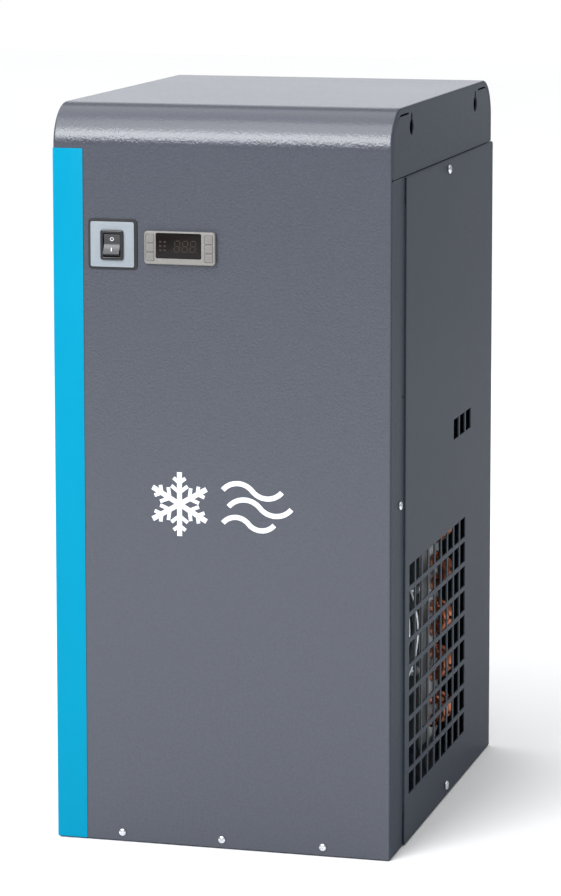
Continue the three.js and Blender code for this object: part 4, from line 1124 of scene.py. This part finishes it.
def fan():
    low = span("fan_shroud")[0]
    kept("fan_shroud", SHROUD_ENAMEL, 0.4)
    guard_low = span("fan_guard")[0]
    hub = middle("fan_motor")
    radius = 127
    mouth = radius - 11
    outside = [(-0.2, 13), (-0.2, 1), (1.2, -2.4), (4.6, -3.4), (8.4, -1.2)]
    inside = [(8.4, 0.2), (4.6, -1.6), (2, -1), (1, 1.2), (1, 13), (-0.2, 13)]
    lip = [(mouth + out, height) for out, height in outside + inside]
    made("shroud_mouth", lathe(lip, (hub.x, low.y, hub.z), (0, 1, 0), 96), SHROUD_ENAMEL)
    wire = 1.3
    guard_y = guard_low.y + 1.5
    inner = 34
    rings = [inner + (radius - inner) * i / 10 for i in range(11)]
    parts = [ring(r, wire, (hub.x, guard_y, hub.z)) for r in rings]
    for angle in (-20, 20, 160, 200):
        reach = radius + 2
        route = [(inner - 2, guard_y + 2.2, 0), (reach, guard_y + 2.2, 0), (reach, low.y - 0.4, 0)]
        turn = Matrix.Translation((hub.x, 0, hub.z)) @ Matrix.Rotation(math.radians(angle), 4, "Y")
        parts.append(moved(tube(bent(route, 3), wire + 0.3), turn))
        foot = lathe([(0, 0), (6, 0), (6, 1.6), (0, 1.6)], (reach, low.y - 1.9, 0), (0, 1, 0), 20)
        parts.append(moved(foot, turn))
    made("wire_guard", together(*parts), GUARD_WIRE, stands_for="fan_guard")
    motor_low, motor_high = span("fan_motor")
    length = motor_high.y - motor_low.y
    size = (motor_high.x - motor_low.x) / 2
    profile = [(0, 0), (9, 0), (9, 1.6), (size * 0.62, 2.4), (size * 0.9, 7), (size, 13)]
    profile += [(size, length - 12), (size - 5, length - 8), (size - 5, length), (0, length)]
    motor = lathe(profile, (hub.x, motor_low.y, hub.z), (0, 1, 0), 64)
    made("fan_motor_can", motor, BLACK_ENAMEL, stands_for="fan_motor")
    rotor(hub)


def rotor(hub):
    low, high = span("fan_rotor")
    middle_y = (low.y + high.y) / 2 + 3
    tip = 110
    root = 22
    boss = [(0, -13), (26, -13), (30, -9), (30, 9), (26, 13), (0, 13)]
    parts = [lathe(boss, (0, 0, 0), (0, 1, 0), 48), drum((0, low.y - middle_y, 0), (0, 0, 0), 4, 24)]
    for i in range(5):
        bm = bmesh.new()
        verts = [bm.verts.new((root + (tip - root) * k / 8, -11, 0)) for k in range(9)]
        edges = [bm.edges.new(pair) for pair in zip(verts, verts[1:])]
        steps = 12
        bmesh.ops.spin(
            bm,
            geom=[*verts, *edges],
            cent=(0, 0, 0),
            axis=(0, 1, 0),
            dvec=(0, 22 / steps, 0),
            angle=math.radians(56),
            steps=steps,
            use_duplicate=False,
        )
        bmesh.ops.solidify(bm, geom=bm.faces[:], thickness=1.6)
        parts.append(moved(bm, Matrix.Rotation(math.radians(72 * i), 4, "Y")))
    blades = moved(together(*parts), Matrix.Translation((hub.x, middle_y, hub.z)))
    eased(made("fan_blades", blades, BLACK_ENAMEL, "fan", "fan_rotor"), 0.4, 2, 50)


# ---------------------------------------------------------------- refrigerant side


def compressor():
    low, high = span("compressor_shell")
    centre = middle("compressor_shell")
    reach_y = (high.y - low.y) / 2
    stretch = (high.x - low.x) / (high.y - low.y)
    tall = high.z - low.z
    belt = tall * 0.48
    r = reach_y
    profile = [(0, 0), (r * 0.5, 0)]
    profile += [(r * (0.5 + 0.47 * math.sin(a)), 26 * (1 - math.cos(a))) for a in (0.4, 0.75, 1.1, 1.4, 1.57)]
    profile += [(r * 0.97, belt - 7), (r * 0.985, belt - 6.4), (r, belt - 5)]
    profile += [(r, belt + 3), (r * 0.992, belt + 5), (r * 0.955, belt + 6)]
    shoulder, dome = 46, (0, 0.2, 0.4, 0.65, 0.9, 1.15, 1.4)
    profile += [(r * (0.25 + 0.7 * math.cos(a)), tall - shoulder + shoulder * math.sin(a)) for a in dome]
    profile.append((0, tall))
    shape = lathe(profile, steps=96)
    squash = Matrix.Diagonal((stretch, 1, 1, 1))
    shell = moved(shape, squash, Matrix.Translation((centre.x, centre.y, low.z)))
    made("compressor_pot", shell, BLACK_ENAMEL, stands_for="compressor_shell", sharp=45)
    kept("compressor_foot_plate", BLACK_ENAMEL, 0.5)
    low, high = span("compressor_terminal_cover")
    cap = rounded(low, high, 5, 2, axis=X)
    made("terminal_cap", cap, SATIN_BLACK, stands_for="compressor_terminal_cover")
    for i in range(1, 5):
        node = f"compressor_grommet_{i}"
        low, high = span(node)
        centre = middle(node)
        tall = high.z - low.z
        profile = [(0, 0), (10.5, 0), (12, 1.5), (11.4, 4.5), (12, 7), (11, 13.4), (7.6, 13.7), (7.6, 17.3)]
        profile += [(10, 17.6), (10, tall - 1.5), (8.8, tall), (3.4, tall), (3.4, tall - 2), (0, tall - 2)]
        made(f"grommet_{i}", lathe(profile, (centre.x, centre.y, low.z), steps=32), RUBBER, stands_for=node)


def refrigerant_lines():
    for node in ("discharge_line", "suction_line", "liquid_line", "capillary_tube"):
        kept(node, COPPER, smoothing=2)
    low, high = span("filter_dryer")
    centre = middle("filter_dryer")
    tall = high.z - low.z
    profile = [(0, 0), (4, 0), (4, 6), (5.5, 9), (8.6, 13), (10, 18), (10, tall - 18), (8.6, tall - 13)]
    profile += [(4.5, tall - 9), (3, tall - 6), (3, tall), (0, tall)]
    can = lathe(profile, (centre.x, centre.y, low.z))
    made("filter_dryer_can", can, COPPER, stands_for="filter_dryer")
    kept("hot_gas_valve", BRASS, 0.4)


# ---------------------------------------------------------------- air side and drain


def air_side():
    low, high = span("heat_exchanger")
    made("foam_jacket", rounded(low, high, 16, 5, axis=Z), FOAM, stands_for="heat_exchanger")
    tape = Vector((0.6, 0.6, 0))
    bands = []
    for share in (0.2, 0.5, 0.8):
        z = low.z + (high.z - low.z) * share
        start, end = Vector((low.x, low.y, z - 12)), Vector((high.x, high.y, z + 12))
        bands.append(rounded(start - tape, end + tape, 16.4, 0.2, axis=Z))
    made("jacket_tape", together(*bands), RUBBER)
    low, high = span("moisture_separator")
    centre = middle("moisture_separator")
    tall = high.z - low.z
    r = 32
    profile = [(0, 0), (6.2, 0), (7, 0.8), (7, 11), (10, 12), (r * 0.6, 13), (r * 0.9, 19), (r, 28)]
    profile += [(r, tall - 9), (r + 3, tall - 8), (r + 3, tall - 0.8), (r + 2.4, tall), (0, tall)]
    bowl = lathe(profile, (centre.x, centre.y, low.z), steps=64)
    made("separator_bowl", bowl, FINS, stands_for="moisture_separator")
    for end in ("inlet", "outlet"):
        port(f"air_{end}")


def port(label):
    """A port's sleeve, flange and hexagon with a female thread."""
    node = f"{label}_fitting"
    low, high = span(node)
    centre = middle(node)
    bore = 12.2
    hexagon_length = 22
    flange = high.y - low.y - hexagon_length
    tube_radius, inner = bore + 3.5, bore + 0.5
    sleeve = [(tube_radius, 0), (tube_radius, flange - 3.5), (19.4, flange - 3.5), (20, flange - 2.9)]
    sleeve += [(20, flange - 0.4), (19.4, flange + 0.3), (inner, flange + 0.3), (inner, 0), (tube_radius, 0)]
    turned = lathe(sleeve, (centre.x, low.y, centre.z), (0, 1, 0), 64)
    made(f"{label}_sleeve", turned, BRASS, stands_for=node)
    mouth = (centre.x, high.y, centre.z)
    nut = drum((centre.x, high.y - hexagon_length, centre.z), mouth, bore + 8.5, 6)
    hexagon = made(f"{label}_hexagon", nut, BRASS)
    threads = [(0, -26), (bore, -26), (bore, -2), (bore + 1.8, 0.5), (0, 0.5)]
    carved(hexagon, lathe(threads, mouth, (0, 1, 0), 64))
    eased(hexagon, 0.8, 3, 40)
    crests = [(centre.x, high.y - 3 - 1.8 * i, centre.z) for i in range(9)]
    turns = [ring(bore + 0.1, 0.55, crest, (0, 1, 0), 64, 6) for crest in crests]
    made(f"{label}_thread", together(*turns), BRASS)


def drain():
    kept("drain_ball_valve", BRASS, 0.5)
    low, high = span("drain_valve_lever")
    plate = rounded((high.x - 2.5, low.y, low.z), (high.x, high.y, high.z), 5.5, 0.5, axis=X, segments=8)
    pivot_y, pivot_z = middle("drain_valve_lever").y, high.z - 7
    nut = drum((low.x, pivot_y, pivot_z), (high.x - 2, pivot_y, pivot_z), 4.5, 6, 0.4)
    made("lever_grip", plate, RED, "drain_lever", "drain_valve_lever")
    made("lever_nut", nut, ZINC, "drain_lever")
    kept("drain_solenoid_valve", SATIN_BLACK, 1.0)
    kept("drain_tube", RUBBER, smoothing=2)
    low, high = span("drain_outlet")
    centre = middle("drain_outlet")
    depth = high.y - low.y
    wall = depth - 17
    body = [(3, 0), (6.5, 0), (6.5, wall), (9, wall), (9, wall + 4.4), (4.4, wall + 4.4), (4.4, wall + 7)]
    for i in range(3):
        start = wall + 7 + i * 3.2
        body += [(5.5, start), (4.4, start + 2.8)]
    body += [(3.6, depth), (3, depth), (3, 0)]
    barb = lathe(body, (centre.x, low.y, centre.z), (0, 1, 0), 40)
    made("drain_barb", barb, BRASS, stands_for="drain_outlet", sharp=25)
    nut = drum((centre.x, high.y - 17, centre.z), (centre.x, high.y - 13, centre.z), 10, 6, 0.5)
    made("drain_nut", nut, BRASS)
    low, high = span("cable_gland")
    centre = middle("cable_gland")
    depth = high.y - low.y
    wall = depth - 18
    profile = [(5, 0), (9.5, 0), (9.5, wall + 5), (11, wall + 5), (11.2, wall + 12), (10.2, wall + 15.5)]
    profile += [(7.6, wall + 17.6), (5.6, depth), (5, depth), (5, 0)]
    dome = lathe(profile, (centre.x, low.y, centre.z), (0, 1, 0), 48)
    made("gland_dome", dome, SATIN_BLACK, stands_for="cable_gland")
    nut = drum((centre.x, high.y - 18, centre.z), (centre.x, high.y - 12.4, centre.z), 14, 6, 0.8)
    made("gland_nut", nut, SATIN_BLACK)
    ribs = []
    for i in range(18):
        angle = 2 * math.pi * i / 18
        x, z = centre.x + 11 * math.cos(angle), centre.z + 11 * math.sin(angle)
        ribs.append(drum((x, high.y - 12, z), (x, high.y - 5, z), 0.7, 8, 0.2))
    made("gland_ribs", together(*ribs), SATIN_BLACK)


def inner_metalwork():
    kept("base_tray", SHADED_SIDE_PAINT, 0.5)
    kept("inner_bulkhead", GALVANISED, 0.4)
    kept("electrical_box", GALVANISED, 0.4)
    kept("controller_housing", SATIN_BLACK, 0.8)


# ---------------------------------------------------------------- floor, light and camera


def studio():
    bm = bmesh.new()
    bmesh.ops.create_grid(bm, x_segments=4, y_segments=4, size=12)
    mesh = bpy.data.meshes.new("floor")
    bm.to_mesh(mesh)
    bm.free()
    floor = bpy.data.objects.new("floor", mesh)
    scene.collection.objects.link(floor)
    pale = Finish("pale_floor", None)
    cloud = pale.noise(0.7, 2)
    pale.colour(pale.blend(cloud, (0.88, 0.885, 0.89, 1), (0.92, 0.925, 0.93, 1)))
    pale.rough(0.8 + 0.1 * cloud)
    mesh.materials.append(pale.material)

    world = bpy.data.worlds.new("soft_room")
    scene.world = world
    world.use_nodes = True
    nodes, links = world.node_tree.nodes, world.node_tree.links
    backdrop = nodes["Background"]
    backdrop.inputs["Color"].default_value = (1, 1, 1, 1)
    seen = nodes.new("ShaderNodeLightPath")
    level = nodes.new("ShaderNodeMapRange")
    level.inputs["To Min"].default_value = 0.38
    level.inputs["To Max"].default_value = 1.0
    links.new(seen.outputs["Is Camera Ray"], level.inputs["Value"])
    links.new(level.outputs[0], backdrop.inputs["Strength"])

    sun = bpy.data.lights.new("skylight", "SUN")
    sun.energy = 2.4
    sun.angle = math.radians(90)
    holder = bpy.data.objects.new("skylight", sun)
    scene.collection.objects.link(holder)
    holder.rotation_euler = Vector((0.2, 0.12, -1)).to_track_quat("-Z", "Y").to_euler()

    lights = (
        ("front_softbox", (-0.85, -2.89, 2.14), (0, -0.2, 0.75), 1.6, 1.25, 76, (0.95, 0.97, 1.0)),
        ("high_softbox", (-0.6, -1.87, 3.25), (0, -0.2, 0.75), 1.6, 1.9, 28, (0.95, 0.97, 1.0)),
        ("rear_softbox", (-0.8, 3.0, 1.35), (0, 0, 0.8), 4.0, 1.8, 16, (0.89, 0.93, 1.0)),
    )
    for name, place, aim, wide, tall, power, tint in lights:
        lamp = bpy.data.lights.new(name, "AREA")
        lamp.shape = "RECTANGLE"
        lamp.size, lamp.size_y = wide, tall
        lamp.energy = power
        lamp.color = tint
        holder = bpy.data.objects.new(name, lamp)
        scene.collection.objects.link(holder)
        holder.location = place
        holder.rotation_euler = (Vector(aim) - Vector(place)).to_track_quat("-Z", "Y").to_euler()


def camera():
    lens = bpy.data.cameras.new("camera")
    lens.lens = 143.72
    lens.sensor_width = 36
    lens.sensor_fit = "AUTO"
    lens.shift_y = -0.2
    lens.clip_end = 60
    holder = bpy.data.objects.new("camera", lens)
    scene.collection.objects.link(holder)
    holder.location = (0.9943, -3.675, 1.0455)
    pitch, roll, yaw = math.radians(7.087), math.radians(0.035), math.radians(15.17)
    holder.rotation_euler = (QUARTER - pitch, roll, yaw)
    scene.camera = holder


camera()
front_top_cover()
accent_strip()
front_graphic()
side_panel(1)
side_panel(-1)
rear_panel()
screws()
mains_switch()
rocker()
controller()
condenser()
fan()
compressor()
refrigerant_lines()
air_side()
drain()
inner_metalwork()
studio()
